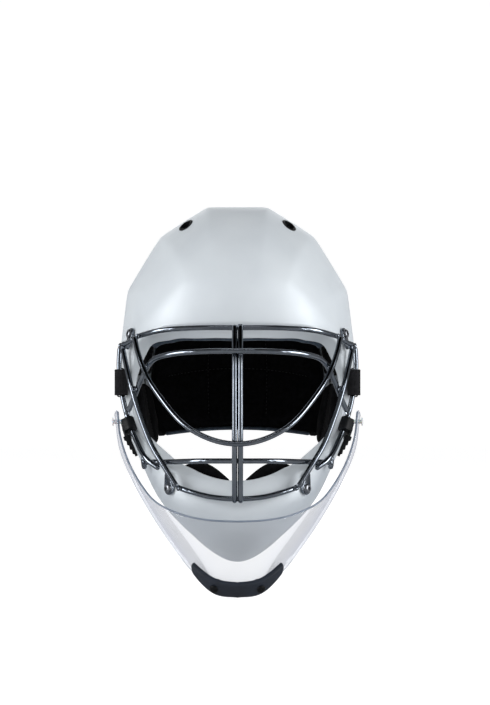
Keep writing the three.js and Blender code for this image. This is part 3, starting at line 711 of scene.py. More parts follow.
def build_shell():
    sections = [shell_section(i / SHELL_COLUMNS * RING) for i in range(SHELL_COLUMNS)]
    rows = len(sections[0])
    faces = grid_faces(SHELL_COLUMNS, rows, wrap_columns=True, wrap_rows=True)
    obj = add_mesh("shell_moulding", np.vstack(sections), faces, PAINT, "helmet",
                   replaced=["shell"], slot="shell")
    holes = [(VENT["a"], VENT["t"], VENT["width"], VENT["length"])]
    holes += [(a, t, 2 * EAR_PORT_RADIUS, 2 * EAR_PORT_RADIUS) for a, t in EAR_PORTS]
    drill(obj, [plug(side * a, *rest) for side in (1, -1) for a, *rest in holes])


def grommet(name, a, t, width, length, lip):
    """Black moulded plastic ring that lines an opening in the shell."""
    origin = shell_point(a, t)[0]
    axes = basis(normals_of(shell_point, a, t)[0], across_shell(a))
    profile = [(-1.4, -4.6), (0.6, -4.2), (0.9, -3.4), (0.15, -2.6), (0.15, -0.6),
               (1.3, 0.1), (1.2, 0.9), (0.2, 1.2), (-1.0, 0.8), (-1.5, -0.6)]
    angle = np.linspace(0, 2 * math.pi, 56, endpoint=False)
    points = []
    for c, s in zip(np.cos(angle), np.sin(angle)):
        for out, height in profile:
            x, y = (width / 2 + out * lip) * c, (length / 2 + out * lip) * s
            sag = 0.006 * (x * x + y * y)
            points.append([x, y, height - sag])
    faces = grid_faces(len(angle), len(profile), wrap_columns=True, wrap_rows=True)
    return add_mesh(name, np.asarray(points) @ axes.T + origin, faces, PLASTIC, "helmet")


def build_openings():
    for side, word in ((1, "left"), (-1, "right")):
        grommet(f"vent_grommet_{word}", side * VENT["a"], VENT["t"], VENT["width"], VENT["length"], 1.0)
        for k, (a, t) in enumerate(EAR_PORTS):
            grommet(f"ear_port_{word}_{k + 1}", side * a, t, 2 * EAR_PORT_RADIUS, 2 * EAR_PORT_RADIUS, 0.7)


# ------------------------------------------------------------------ cage
def both_halves(rows):
    rows = np.asarray(rows, float)
    return np.vstack([rows[:0:-1] * MIRROR, rows])


CAGE_SINGLE = {
    "cage_bar_top": [[0, -107, 52.5], [40, -103, 52.5], [74, -89, 50.5], [97, -70, 45.5]],
    "cage_bar_brow": [[0, -139.4, 29.7], [34, -134.6, 29.4], [64, -117.6, 27], [80, -102, 21.5],
                      [91, -88, 4], [98.5, -77.5, -13], [104.6, -69.2, -26]],
    "cage_bar_eye": [[0, -154.7, -54.7], [22, -152.1, -51.2], [48, -142.3, -37.8], [77, -117.3, -4.8],
                     [88, -102, 14], [94, -91, 30], [98, -78.5, 45]],
    "cage_bar_lower": [[0, -141.6, -70.6], [34, -132, -71], [67, -102.5, -73], [81, -87, -73.6],
                       [87, -79, -74.5]],
    "cage_bar_chin": [[0, -127.9, -106], [24, -124, -104.5], [42, -117, -100.5], [54, -110, -97]],
}
CAGE_PAIRS = {
    "cage_bar_centre": [[2.66, -112.6, 54.4], [2.66, -133.6, 30.8], [2.66, -148.3, -15],
                        [2.66, -149.4, -53], [2.66, -146.9, -71.3], [2.66, -133.3, -109.4]],
    "cage_bar_side": [[111.5, -57.6, 38.5], [106.6, -71, 19.4], [99.5, -86.6, -6.5],
                      [90.3, -94.5, -33.8], [80.5, -101.4, -57.2], [70.4, -108, -73.8],
                      [56, -115.6, -96]],
    "cage_bar_perimeter": [[113.7, -50.4, 36.6], [114.4, -53, 16], [110.5, -60, -12], [104, -66.5, -36],
                           [96, -78.5, -54], [86, -95, -70], [73, -103.5, -79.5]],
    "cage_link": [[110.8, -59.2, 38.5], [104.5, -68, 40.2], [98.8, -76.8, 43.6]],
    "cage_stub": [[89.2, -77, -68], [89.4, -76.2, -74.5], [88.4, -75, -81]],
}


def cage_paths():
    paths = {name: centripetal(both_halves(rows), 1.5) for name, rows in CAGE_SINGLE.items()}
    for name, rows in CAGE_PAIRS.items():
        left = centripetal(rows, 1.5)
        paths[name + "_left"] = left
        paths[name + "_right"] = left * MIRROR
    return paths


WELD_REACH = 8.0             # wires closer than this, centre to centre, are welded
WELD_SPACING = 9.0
SIDE_BY_SIDE = 0.93          # cosine above which two wires run along each other


def weld_spots(paths):
    """Middle and direction of every place where two wires cross and nearly touch."""
    heading = {name: np.gradient(path, axis=0) for name, path in paths.items()}
    spots = []
    names = sorted(paths)
    for i, first in enumerate(names):
        for second in names[i + 1:]:
            gap = np.linalg.norm(paths[first][:, None] - paths[second][None], axis=2)
            close = np.argwhere(gap < WELD_REACH)[np.argsort(gap[gap < WELD_REACH])]
            for k, m in close:
                one, other = heading[first][k], heading[second][m]
                turn = abs(one @ other) / np.linalg.norm(one) / np.linalg.norm(other)
                middle = (paths[first][k] + paths[second][m]) / 2
                clear = all(np.linalg.norm(middle - spot) > WELD_SPACING for spot, _ in spots)
                if turn < SIDE_BY_SIDE and clear:
                    spots.append((middle, paths[second][m] - paths[first][k]))
    return spots


def weld_bead(name, middle, direction):
    """Small uneven nugget of weld metal under the chrome."""
    work = bmesh.new()
    bmesh.ops.create_icosphere(work, subdivisions=4, radius=1.0)
    axes = basis(direction, UP + [0.3, 0.2, 0])
    ripple = middle[0] * 1.7 + middle[2]
    for vertex in work.verts:
        p = np.array(vertex.co)
        lump = 1 + 0.09 * math.sin(4 * p[0] + ripple) * math.cos(3 * p[1] + ripple) + 0.05 * math.sin(9 * p[2])
        vertex.co = Vector((axes @ (p * lump * [2.7, 2.7, 2.0])) + middle)
    points = [tuple(v.co) for v in work.verts]
    faces = [tuple(v.index for v in f.verts) for f in work.faces]
    work.free()
    return add_mesh(name, points, faces, CHROME, "helmet")


def build_cage():
    paths = cage_paths()
    for name, path in paths.items():
        tube(name + "_wire", path, WIRE_RADIUS, CHROME, "helmet", replaced=[name], slot="steel")
    for k, (middle, direction) in enumerate(weld_spots(paths)):
        weld_bead(f"weld_bead_{k + 1}", middle, direction)


LUGS = {
    "top": {"a": 3.86, "t": 0.19, "right": [0, 0, 1.0]},
    "chin": {"a": 7.7, "t": 0.27, "right": [-0.3, 0, -1.0]},
}
LUG = {"length": 12.5, "wide": 6.0, "narrow": 3.0, "thick": 2.5}
SCREW_RADIUS = 2.0
CLEARANCE = 0.3


def lug_outline():
    wide = np.linspace(-0.62 * math.pi, 0.62 * math.pi, 28)
    narrow = np.linspace(0.55 * math.pi, 1.45 * math.pi, 18)
    head = np.column_stack([LUG["wide"] * np.cos(wide), LUG["wide"] * np.sin(wide)])
    tail = np.column_stack([LUG["narrow"] * np.cos(narrow) - LUG["length"], LUG["narrow"] * np.sin(narrow)])
    return np.vstack([head, tail])


def build_lugs():
    seat = 2 * CLEARANCE + LUG["thick"]
    head = [(0, seat - 8), (SCREW_RADIUS, seat - 8), (SCREW_RADIUS, seat - 0.2), (4.2, seat - 0.2),
            (4.4, seat), (4.4, seat + 0.7), (4.2, seat + 1.2), (3.4, seat + 2.0), (2.4, seat + 2.4),
            (1.75, seat + 2.45), (1.6, seat + 2.3), (1.6, seat + 0.9), (0, seat + 0.9)]
    washer = [(2.2, CLEARANCE), (5.2, CLEARANCE), (5.3, CLEARANCE + 0.2)]
    face = -(SHELL_THICK + 1.2)
    nut = [(2.3, face - 3.6), (3.3, face - 3.6), (3.6, face - 3.3), (3.6, face - 1.2),
           (5.0, face - 1.2), (5.2, face - 1.0), (5.2, face), (2.3, face)]
    for place, spot in LUGS.items():
        for sign, word in ((1, "left"), (-1, "right")):
            centre = shell_point(spot["a"], spot["t"])[0]
            normal = normals_of(shell_point, spot["a"], spot["t"])[0]
            right = np.array(spot["right"])
            if sign < 0:
                centre, normal, right = centre * MIRROR, normal * MIRROR, right * MIRROR
            middle = centre + normal * (CLEARANCE + LUG["thick"] / 2)
            slab(f"lug_{place}_{word}", lug_outline(), LUG["thick"], 0.7, middle, normal, right,
                 CHROME, "helmet", replaced=[f"cage_lug_{place}_{word}"], slot="steel")
            turned(f"screw_{place}_{word}", head, centre, normal, PLATED, "helmet",
                   replaced=[f"cage_screw_{place}_{word}"], slot="screw")
            turned(f"nut_{place}_{word}", nut, centre, normal, PLATED, "helmet",
                   replaced=[f"cage_nut_{place}_{word}"], slot="screw")


# ------------------------------------------------------------------ padding
CLOTH_FRAMES = 20


def positions(obj):
    flat = np.zeros(3 * len(obj.data.vertices))
    obj.data.vertices.foreach_get("co", flat)
    return flat.reshape(-1, 3)


def set_positions(obj, points):
    obj.data.vertices.foreach_set("co", np.asarray(points, float).ravel())
    obj.data.update()


def nearest(points, targets):
    """Distance from each point to the closest of the targets."""
    result = np.full(len(points), 1e9)
    for target in targets:
        result = np.minimum(result, np.linalg.norm(points - target, axis=1))
    return result


def puff(obj, seams, cap=3.5, voxel=4.5, pressure=4.0):
    """Fills a pad like a cushion: sewn down along its seams, swelling between them."""
    seam_points = to_row(np.vstack(seams)) if seams else np.zeros((0, 3))
    modifier = obj.modifiers.new("remesh", "REMESH")
    modifier.mode = "VOXEL"
    modifier.voxel_size = voxel * MM
    run_modifiers(obj)
    start = positions(obj)
    held = obj.vertex_groups.new(name="sewn")
    sewn = np.flatnonzero(nearest(start, seam_points) < voxel * MM)
    held.add([int(k) for k in sewn], 1.0, "REPLACE")
    cloth = obj.modifiers.new("filling", "CLOTH")
    cloth.settings.use_pressure = True
    cloth.settings.uniform_pressure_force = pressure
    cloth.settings.effector_weights.gravity = 0
    cloth.settings.vertex_group_mass = "sewn"
    cloth.point_cache.frame_start = 1
    cloth.point_cache.frame_end = CLOTH_FRAMES
    scene = bpy.context.scene
    for frame_number in range(1, CLOTH_FRAMES + 1):
        scene.frame_set(frame_number)
    graph = bpy.context.evaluated_depsgraph_get()
    swollen = positions(obj.evaluated_get(graph))
    scene.frame_set(1)
    obj.modifiers.clear()
    move = swollen - start
    length = np.linalg.norm(move, axis=1)[:, None]
    set_positions(obj, start + move * np.minimum(1, cap * MM / np.maximum(length, 1e-9)))
    smooth = obj.modifiers.new("finer", "SUBSURF")
    smooth.levels = 1
    run_modifiers(obj)
    sink_seams(obj, seam_points)
    tidy_normals(obj, 180)


def sink_seams(obj, seam_points, depth=1.6, width=2.4):
    """Presses a narrow groove into the pad along its seams."""
    if not len(seam_points):
        return
    points = positions(obj)
    normals = np.zeros(3 * len(points))
    obj.data.vertices.foreach_get("normal", normals)
    pull = np.exp(-(nearest(points, seam_points) / (width * MM)) ** 2)
    set_positions(obj, points - normals.reshape(-1, 3) * (pull * depth * MM)[:, None])


def on_surface(obj, path, lift=0.0):
    """A millimetre path laid on the surface of obj and lifted off it, with its normals."""
    work = bmesh.new()
    work.from_mesh(obj.data)
    tree = BVHTree.FromBMesh(work)
    hits = [tree.find_nearest(Vector(point)) for point in to_row(path)]
    work.free()
    normals = np.array([hit[1] for hit in hits])
    return np.array([hit[0] for hit in hits]) / MM - SHIFT + normals * lift, normals


STITCH_LENGTH = 2.8
STITCH_PITCH = 4.2
THREAD_RADIUS = 0.38


def stitches(name, path, normals, body, pitch=STITCH_PITCH, length=STITCH_LENGTH):
    """A row of sewn stitches: short thread arcs that dip in at both ends."""
    points, faces = [], []
    sides, rings = 6, 7
    spots = resample(path, pitch)
    for first, second in zip(spots[:-1], spots[1:]):
        direction = (second - first) / np.linalg.norm(second - first)
        middle = (first + second) / 2
        up = normals[np.argmin(np.linalg.norm(path - middle, axis=1))]
        up = up - direction * np.dot(up, direction)
        up /= np.linalg.norm(up)
        across = np.cross(direction, up)
        base = len(points)
        for s in np.linspace(-1, 1, rings):
            radius = THREAD_RADIUS * math.sqrt(max(0.03, 1 - abs(s) ** 3))
            rise = (0.6 - 1.1 * s * s) * THREAD_RADIUS
            centre = middle + direction * s * length / 2 + up * rise
            for m in range(sides):
                angle = 2 * math.pi * m / sides
                points.append(centre + radius * (math.cos(angle) * up + math.sin(angle) * across))
        faces += [tuple(base + q for q in face) for face in grid_faces(rings, sides, wrap_rows=True)]
        faces.append(tuple(base + m for m in range(sides)))
        faces.append(tuple(base + (rings - 1) * sides + m for m in reversed(range(sides))))
    return add_mesh(name, points, faces, THREAD, body)


def pad_seam(point, u, v, inset):
    """Seam on the inner face of a pad that follows point(u, v)."""
    return point(u, v) - normals_of(point, u, v) * inset


def sewn_pad(name, point, u_values, v_values, thick, seams, nodes, body="helmet",
             face=PAD_FACE, cap=2.6, corner=0.3):
    """A swollen pad between point(u, v) offset face and face - thick, with sewn seams."""
    obj = sheet(name, point, u_values, v_values, thick - 2.6, 5.0, LINING, body,
                offset=face - thick / 2, corner=corner, replaced=nodes, slot="foam")
    inner = thick - 1.3 - face
    lines = [resample(pad_seam(point, u, v, inner), 2.0) for u, v in seams]
    puff(obj, lines, cap)
    rows = []
    for k, line in enumerate(lines):
        laid, normals = on_surface(obj, line, 0.15)
        rows.append(stitches(f"{name}_stitch_{k + 1}", laid, normals, body))
    return [obj] + rows


def twin(obj, body, *replaced):
    """Mirror image of a left-hand piece for the right-hand side."""
    mesh = obj.data.copy()
    mesh.transform(Matrix.Scale(-1, 4, (1, 0, 0)))
    mesh.flip_normals()
    other = bpy.data.objects.new(obj.name.replace("left", "right"), mesh)
    bpy.context.scene.collection.objects.link(other)
    if body:
        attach(other, body)
    if replaced:
        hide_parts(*replaced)
    return other


# ------------------------------------------------------------------ liner
SWEATBAND = {"reach": 3.9, "behind": 12.0, "thick": 6.0, "show_brow": 3.2, "show_temple": 6.5}


def band(u, v):
    """Front face of the sweatband, just inside the flange from temple to temple."""
    u, v = both_arrays(u, v)
    a = SWEATBAND["reach"] * u
    edge = shell_point(a, 0)
    inwards = np.array([inwards_from(e) for e in edge])
    show = SWEATBAND["show_brow"] + (SWEATBAND["show_temple"] - SWEATBAND["show_brow"]) * u * u
    reach = np.array([0.89 * flange_length(x) for x in a]) + show
    depth = 3 + (reach - 3) * v
    return edge + inwards * depth[:, None] + [0, SWEATBAND["behind"], 0]


def chin_wedge(u, v):
    u, v = both_arrays(u, v)
    x = 7 + 48 * u
    top = -90 + 17 * np.sin(math.pi * np.minimum(1, 0.74 * u))
    return np.column_stack([x, -104 + 12 * (x / 50) ** 2, top + (-112 - top) * v])


def line_u(v, low, high, count=24):
    return np.linspace(low, high, count), np.full(count, v)


def line_v(u, low, high, count=24):
    return np.full(count, u), np.linspace(low, high, count)


def build_liner():
    sheet("sweatband_towelling", band, between(-1, 1, 140), edge_heavy(14), SWEATBAND["thick"] - 0.6, 2.4,
          SLATE, "helmet", offset=-SWEATBAND["thick"] / 2, replaced=["sweatband"], slot="trim")
    seams = [line_v(a, 0.12, 0.34) for a in (-1.9, -0.65, 0.65, 1.9)]
    sewn_pad("liner_forehead", shell_point, between(-2.9, 2.9, 60), between(0.1, 0.36, 16), 13.0,
             seams, ["pad_forehead"])
    side = sewn_pad("liner_side_left", shell_point, between(3.02, 4.7, 26), between(0.26, 0.95, 36), 16.0,
                    [line_u(0.6, 3.1, 4.6), line_v(3.86, 0.3, 0.92)], ["pad_side_left"])
    cheek = sewn_pad("liner_cheek_left", shell_point, between(4.85, 6.25, 24), between(0.16, 0.95, 32), 14.0,
                     [line_u(v, 4.95, 6.15) for v in (0.42, 0.7)], ["pad_cheek_left"])
    chin = sheet("liner_chin_left", chin_wedge, edge_heavy(40), edge_heavy(24), 10.5, 4.5, LINING,
                 "helmet", offset=-5.5, corner=0.2, replaced=["pad_chin_left"], slot="foam")
    for (pad, *rows), node in ((side, "pad_side_right"), (cheek, "pad_cheek_right"), ([chin], "pad_chin_right")):
        twin(pad, "helmet", node)
        for row in rows:
            twin(row, "helmet")
    build_crown_pad()


CROWN_FLOOR = 142.0


def build_crown_pad():
    """Pad on the shell's crown, cut off flat where the head rests on it."""
    a = np.linspace(-1.24, 1.24, 30)
    t = np.linspace(0.49, 0.67, 26)
    grid_a, grid_t = np.meshgrid(a, t, indexing="ij")
    roof = shell_point(grid_a.ravel(), grid_t.ravel())
    roof = roof + normals_of(shell_point, grid_a.ravel(), grid_t.ravel()) * (PAD_FACE - 0.8)
    floor = roof.copy()
    floor[:, 2] = CROWN_FLOOR + 0.6
    count = len(roof)
    cells = grid_faces(len(a), len(t))
    faces = cells + [tuple(k + count for k in reversed(f)) for f in cells]
    rim = [i * len(t) for i in range(len(a))]
    rim += [(len(a) - 1) * len(t) + j for j in range(1, len(t))]
    rim += [i * len(t) + len(t) - 1 for i in reversed(range(len(a) - 1))]
    rim += [j for j in reversed(range(1, len(t) - 1))]
    faces += [(p, q, q + count, p + count) for p, q in zip(rim, rim[1:] + rim[:1])]
    obj = add_mesh("liner_crown", np.vstack([roof, floor]), faces, LINING, "helmet",
                   replaced=["pad_crown"], slot="foam")
    round_edges(obj, 4.0, 3)
    middle = roof.mean(axis=0)
    x = np.linspace(-26, 26, 20)
    lines = [np.column_stack([x, np.full(20, middle[1]), np.full(20, CROWN_FLOOR + 0.6)])]
    puff(obj, lines, cap=1.2)


# ------------------------------------------------------------------ backplate
def backplate_point(u, v):
    u, v = both_arrays(u, v)
    arch = np.sin(math.pi * (0.15 + 0.7 * v))
    z = 84 - 128 * v - u * u * (17 * (1 - v) + 7 * v)
    y = 131 + 9 * arch - 14 * v * v - 47 * np.abs(u) ** 2.4
    return np.column_stack([97 * (0.8 + 0.2 * arch + 0.06 * v ** 3) * u, y, z])


def build_backplate():
    body = "backplate_body"
    sheet("backplate_moulding", backplate_point, -1 + 2 * edge_heavy(80), edge_heavy(60), BACKPLATE_THICK,
          1.4, PAINT, body, offset=-BACKPLATE_THICK / 2, corner=0.16, replaced=["backplate"], slot="shell")
    seams = [line_v(u, 0.1, 0.92, 40) for u in (-0.36, 0.36)] + [line_u(0.52, -0.85, 0.85, 50)]
    sewn_pad("backplate_padding", backplate_point, between(-1, 1, 70), between(0.04, 1.06, 50),
             13.0, seams, ["pad_backplate"], body, face=-(BACKPLATE_THICK + CLEARANCE), corner=0.07)
    edge = pad_seam(backplate_point, *line_u(1.045, -0.92, 0.92, 80), 14.0)
    tube("backplate_piping", resample(edge, 2.0), 1.9, SLATE, body, sides=12)
    for u0, u1, v0, v1, node in ((0.62, 0.77, 0.49, 0.7, "strap_anchor_left"),
                                 (-0.77, -0.62, 0.49, 0.7, "strap_anchor_right"),
                                 (-0.15, 0.15, 0.03, 0.17, "backplate_tab")):
        sheet(node + "_moulding", backplate_point, u0 + (u1 - u0) * edge_heavy(20),
              v0 + (v1 - v0) * edge_heavy(20), 2.5, 1.2, PLASTIC, body,
              offset=CLEARANCE + 1.25, corner=0.25, replaced=[node], slot="plastic")
        for share in (0.25, 0.75):
            if node == "backplate_tab":
                u, v = u0 + (u1 - u0) * share, (v0 + v1) / 2
            else:
                u, v = (u0 + u1) / 2, v0 + (v1 - v0) * share
            rivet = [(0, 0), (2.0, 0), (2.6, 0.5), (2.8, 0.9), (2.3, 1.5), (1.2, 1.9), (0, 2.0)]
            turned(f"{node}_rivet_{'lower' if share > 0.5 else 'upper'}", rivet,
                   backplate_point(u, v)[0] + normals_of(backplate_point, u, v)[0] * 2.6,
                   normals_of(backplate_point, u, v)[0], PLATED, body)


# ------------------------------------------------------------------ straps
def ribbon(name, path, across, width, thick, body, **extra):
    """Woven strap along a path, with rounded selvedges; across is its width direction."""
    path = resample(path, 1.0)
    profile = [(-0.5, 0.0), (-0.497, 0.3), (-0.485, 0.48), (-0.46, 0.56), (-0.43, 0.5)]
    middle = [(x, 0.5) for x in np.linspace(-0.38, 0.38, 9)]
    top = profile + middle + [(-x, y) for x, y in reversed(profile)]
    ring = top + [(x, -y) for x, y in reversed(top[1:-1])]
    tangent = np.gradient(path, axis=0)
    tangent /= np.linalg.norm(tangent, axis=1)[:, None]
    across = np.asarray(across, float)
    side = across - tangent * (tangent @ across)[:, None]
    side /= np.linalg.norm(side, axis=1)[:, None]
    out = np.cross(tangent, side)
    rings = [p + np.outer([x * width for x, _ in ring], s) + np.outer([y * thick for _, y in ring], o)
             for p, s, o in zip(path, side, out)]
    uvs = [[x * width, k] for k in range(len(path)) for x, _ in ring]
    faces = grid_faces(len(path), len(ring), wrap_rows=True)
    faces.append(tuple(range(len(ring))))
    faces.append(tuple((len(path) - 1) * len(ring) + k for k in reversed(range(len(ring)))))
    return add_mesh(name, np.vstack(rings), faces, WEBBING, body, uvs=uvs, **extra)


STRAP_HEIGHT = 2.0
SIDE_STRAP = [[115.2, -17], [112.9, -32], [112.6, -43], [110.4, -51], [106.5, -57.5], [108.5, -64.5],
              [115.2, -63.5], [117.9, -54], [115.4, -45.5], [115.1, -38], [115.5, -30], [117.8, -16],
              [118.8, 8], [118, 34], [113, 62], [105.4, 84], [97.8, 96.6], [88.6, 105], [78.2, 111.6]]


def join_blend(objs):
    for obj in objs:
        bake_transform(obj)


def build_straps():
    rows = [[x, y, STRAP_HEIGHT] for x, y in SIDE_STRAP]
    path = centripetal(rows, 1.0)
    strap = ribbon("side_strap_left", path, UP, WEBBING_WIDTH, WEBBING_THICK, None,
                   replaced=["strap_side_left", "strap_tail_left"], slot="webbing")
    other = twin(strap, None, "strap_side_right", "strap_tail_right")
    pieces = [strap, other]
    loop = path[(path[:, 1] > 0) & (path[:, 1] < 16)]
    for rise in (-8.5, 8.5):
        outward = np.tile([1, 0.15, 0], (len(loop), 1))
        row = stitches(f"side_strap_left_stitch_{'upper' if rise > 0 else 'lower'}",
                       loop + [0.95, 0, rise], outward, None, 3.2, 2.2)
        pieces += [row, twin(row, None)]
    join_blend(pieces)
    rows = [[0, 110.5, 123], [0, 120, 111], [0, 129, 99], [0, 135.6, 89], [0, 137.2, 82], [0, 138.0, 77]]
    top = ribbon("top_strap", centripetal(rows, 1.0), [1.0, 0, 0], WEBBING_WIDTH, WEBBING_THICK, None,
                 replaced=["strap_top"], slot="webbing")
    join_blend([top])


def hoop(name, half_x, half_z, wall, depth, origin, material, body, **extra):
    """Rounded rectangular ring standing across Y, with gripping ridges outside."""
    radius = 2.2
    corner = [(math.cos(a), math.sin(a)) for a in np.linspace(0, math.pi / 2, 8)]
    loop = []
    for sx, sz in ((1, 1), (-1, 1), (-1, -1), (1, -1)):
        arc = [(sx * (half_x - radius + radius * c), sz * (half_z - radius + radius * s)) for c, s in corner]
        loop += arc if sx * sz > 0 else arc[::-1]
    loop = resample(np.array([[x, 0, z] for x, z in loop + loop[:1]]), 0.7)[:-1]
    centre = loop * [(half_x - wall / 2) / half_x, 1, (half_z - wall / 2) / half_z]
    outwards = np.gradient(np.vstack([loop[-1:], loop, loop[:1]]), axis=0)[1:-1]
    outwards = np.column_stack([outwards[:, 2], outwards[:, 1], -outwards[:, 0]])
    outwards /= np.linalg.norm(outwards, axis=1)[:, None]
    outwards *= np.sign(np.sum(outwards * centre, axis=1))[:, None]
    section = [(-0.5, -0.38), (-0.38, -0.5), (0, -0.5), (0.38, -0.5), (0.5, -0.38), (0.5, 0),
               (0.5, 0.38), (0.38, 0.5), (0, 0.5), (-0.38, 0.5), (-0.5, 0.38), (-0.5, 0)]
    rings = []
    for p, n in zip(centre, outwards):
        ridge = 0.35 * (abs(n[0]) > 0.9) * math.cos(2 * math.pi * p[2] / 3.0)
        rings.append([p + n * (x * wall + (ridge if x > 0.4 else 0)) + [0, y * depth, 0] for x, y in section])
    faces = grid_faces(len(rings), len(section), wrap_columns=True, wrap_rows=True)
    return add_mesh(name, np.vstack(rings) + origin, faces, material, body, **extra)


def build_sliders():
    left = hoop("slider_hoop_left", 3.8, WEBBING_WIDTH / 2 + 1.8, 1.1, 9.0, [113.9, -37.5, STRAP_HEIGHT],
                PLASTIC, "slider_left", replaced=["strap_slider_left"], slot="plastic")
    twin(left, "slider_right", "strap_slider_right")


# ------------------------------------------------------------------ throat guard
GUARD_UPPER = np.array([
    [0, -150, -125], [25, -147, -124], [50, -136, -120], [75, -116, -110],
    [91, -96, -94], [104, -80, -73], [112.5, -69, -49], [115.5, -62, -24],
], float)
GUARD_LOWER = np.array([
    [0, -133, -194], [20, -131.5, -191], [42, -121, -172.5], [60, -104, -151],
    [79, -80, -126], [96, -59, -99], [112, -44, -67], [119.5, -36, -26],
], float)


def guard_point(u, v):
    """u runs from the right arm (-1) to the left one, v from the upper edge down."""
    u, v = both_arrays(u, v)
    t = np.abs(u)
    count = len(t)
    upper = along(np.repeat(GUARD_UPPER[None], count, axis=0), t)
    lower = along(np.repeat(GUARD_LOWER[None], count, axis=0), t)
    bulge = 6 * np.sin(math.pi * v) * (1 - t * t)
    point = upper + (lower - upper) * v[:, None]
    point += np.column_stack([bulge * t * 0.7, -bulge, np.zeros(count)])
    point[:, 0] *= np.sign(u)
    return point


BUMPER_REACH = 0.245
BUMPER_THICK = 6.0
RIVET_PLACE = (0.13, 0.88)


def smile(u, v):
    """Patch of the guard that the rubber bumper covers."""
    u, v = both_arrays(u, v)
    tip = (u / BUMPER_REACH) ** 2
    top = 0.785 - 0.1 * tip
    bottom = 0.985 - 0.15 * tip ** 2
    return guard_point(u, top + (bottom - top) * v)


def build_guard():
    body = "throat_guard_body"
    sheet("guard_visor", guard_point, -1 + 2 * edge_heavy(150, 0.35), edge_heavy(40, 0.5), GUARD_THICK, 1.2,
          CLEAR, body, corner=0.03, replaced=["throat_guard"], slot="clear")
    rim = guard_point(np.linspace(-0.99, 0.99, 200), np.full(200, 0.004))
    tube("guard_rim", resample(rim, 2.0), 0.9, CUT_EDGE, body, sides=10)
    seat = GUARD_THICK / 2 + CLEARANCE
    sheet("guard_bumper", smile, BUMPER_REACH * (-1 + 2 * edge_heavy(80)), edge_heavy(28), BUMPER_THICK, 2.8,
          RUBBER, body, offset=seat + BUMPER_THICK / 2, corner=0.12, replaced=["throat_bumper"],
          slot="bumper")
    back = -GUARD_THICK / 2 - 3 * CLEARANCE
    front = GUARD_THICK / 2 + BUMPER_THICK + 2.5 * CLEARANCE
    rivet = [(0, back - 1.4), (3.2, back - 1.4), (3.9, back - 1.0), (4.0, back), (2, back), (2, front),
             (4.0, front), (4.0, front + 0.3), (3.5, front + 0.9), (2.2, front + 1.5), (0, front + 1.7)]
    spot = guard_point(*RIVET_PLACE)[0]
    normal = normals_of(guard_point, *RIVET_PLACE)[0]
    left = turned("guard_rivet_left", rivet, spot, normal, PLASTIC, body,
                  replaced=["bumper_rivet_left"], slot="plastic")
    twin(left, body, "bumper_rivet_right")
    outside = GUARD_THICK / 2 + 1.2
    pin = [(0, -13), (1.6, -13), (2, -12.6), (2, outside), (4.0, outside), (4.2, outside + 0.2),
           (4.15, outside + 0.7), (3.4, outside + 1.3), (2.4, outside + 1.4), (2.2, outside + 0.9),
           (0, outside + 0.9)]
    left = turned("guard_pivot_left", pin, GUARD_PIVOT, np.array([1.0, 0, 0]), NYLON, body,
                  replaced=["guard_pin_left"], slot="plastic")
    twin(left, body, "guard_pin_right")


CLIP_PLACE = 0.52            # along the perimeter wire


def clip_outline():
    arc = np.linspace(0.45 * math.pi, 1.75 * math.pi, 34)
    curve = [(5.6 * math.cos(a), 5.6 * math.sin(a)) for a in arc]
    return curve + [(7, -3), (7, 4), (7.4, 5), (7.4, 8), (7, 9), (7, 19.5), (5.5, 21), (2.5, 21), (1, 19.5)]


LATCH = {"length": 22.0, "root": 6.0, "tip": 2.5, "teeth": 4, "tooth": 1.5, "thick": 7.0}


def latch_outline():
    rows = [(0, 0), (LATCH["root"], 0)]
    for i in range(1, LATCH["teeth"] + 1):
        down = LATCH["length"] * i / (LATCH["teeth"] + 0.5)
        x = LATCH["root"] + (LATCH["tip"] - LATCH["root"]) * i / (LATCH["teeth"] + 0.5)
        rows += [(x + LATCH["tooth"] * 0.6, down - 1.4), (x + LATCH["tooth"] * 0.55, down - 0.7),
                 (x - LATCH["tooth"] * 0.4, down)]
    return rows + [(LATCH["tip"], LATCH["length"]), (0, LATCH["length"])]


def build_clips():
    steps = 100
    wire = centripetal_run(CAGE_PAIRS["cage_bar_perimeter"], steps)
    near = round(CLIP_PLACE * (len(wire) - 1))
    origin = wire[near]
    up = wire[near - 1] - wire[near + 1]
    clip = slab("clip_body_left", clip_outline(), 13.0, 1.3, origin, up, [1.0, 0, 0], PLASTIC, "helmet",
                replaced=["guard_clip_left"], slot="plastic")
    twin(clip, "helmet", "guard_clip_right")
    seat = origin + [0.6, -2.3, -9.5]
    latch = slab("latch_tail_left", latch_outline(), LATCH["thick"], 0.6, seat, [0, 1.0, 0], [1, 0, -0.42],
                 PLASTIC, "latch_left", replaced=["clip_latch_left"], slot="plastic")
    twin(latch, "latch_right", "clip_latch_right")


# ------------------------------------------------------------------ studio
PHOTO_WIDTH, PHOTO_HEIGHT = 490, 705
CAMERA_DISTANCE = 1.6        # metres in front of the ear axis
CAMERA_RISE = -0.015         # below the ear axis
SENSOR = 36.0
SHIFT_SIDE, SHIFT_UP = 7.5, 47.5


def area_light(name, place, aim, width, height, power):
    data = bpy.data.lights.new(name, "AREA")
    data.shape = "RECTANGLE"
    data.size, data.size_y = width, height
    data.energy = power
    lamp = bpy.data.objects.new(name, data)
    lamp.location = place
    lamp.rotation_euler = (Vector(aim) - Vector(place)).to_track_quat("-Z", "Y").to_euler()
    bpy.context.scene.collection.objects.link(lamp)


BACKDROP_GLOW = 0.76         # as the camera sees the backdrop
FLOOR_GLOW = 0.42            # as it lights matt surfaces
REFLECTED_GLOW = 0.03        # as polished surfaces mirror it


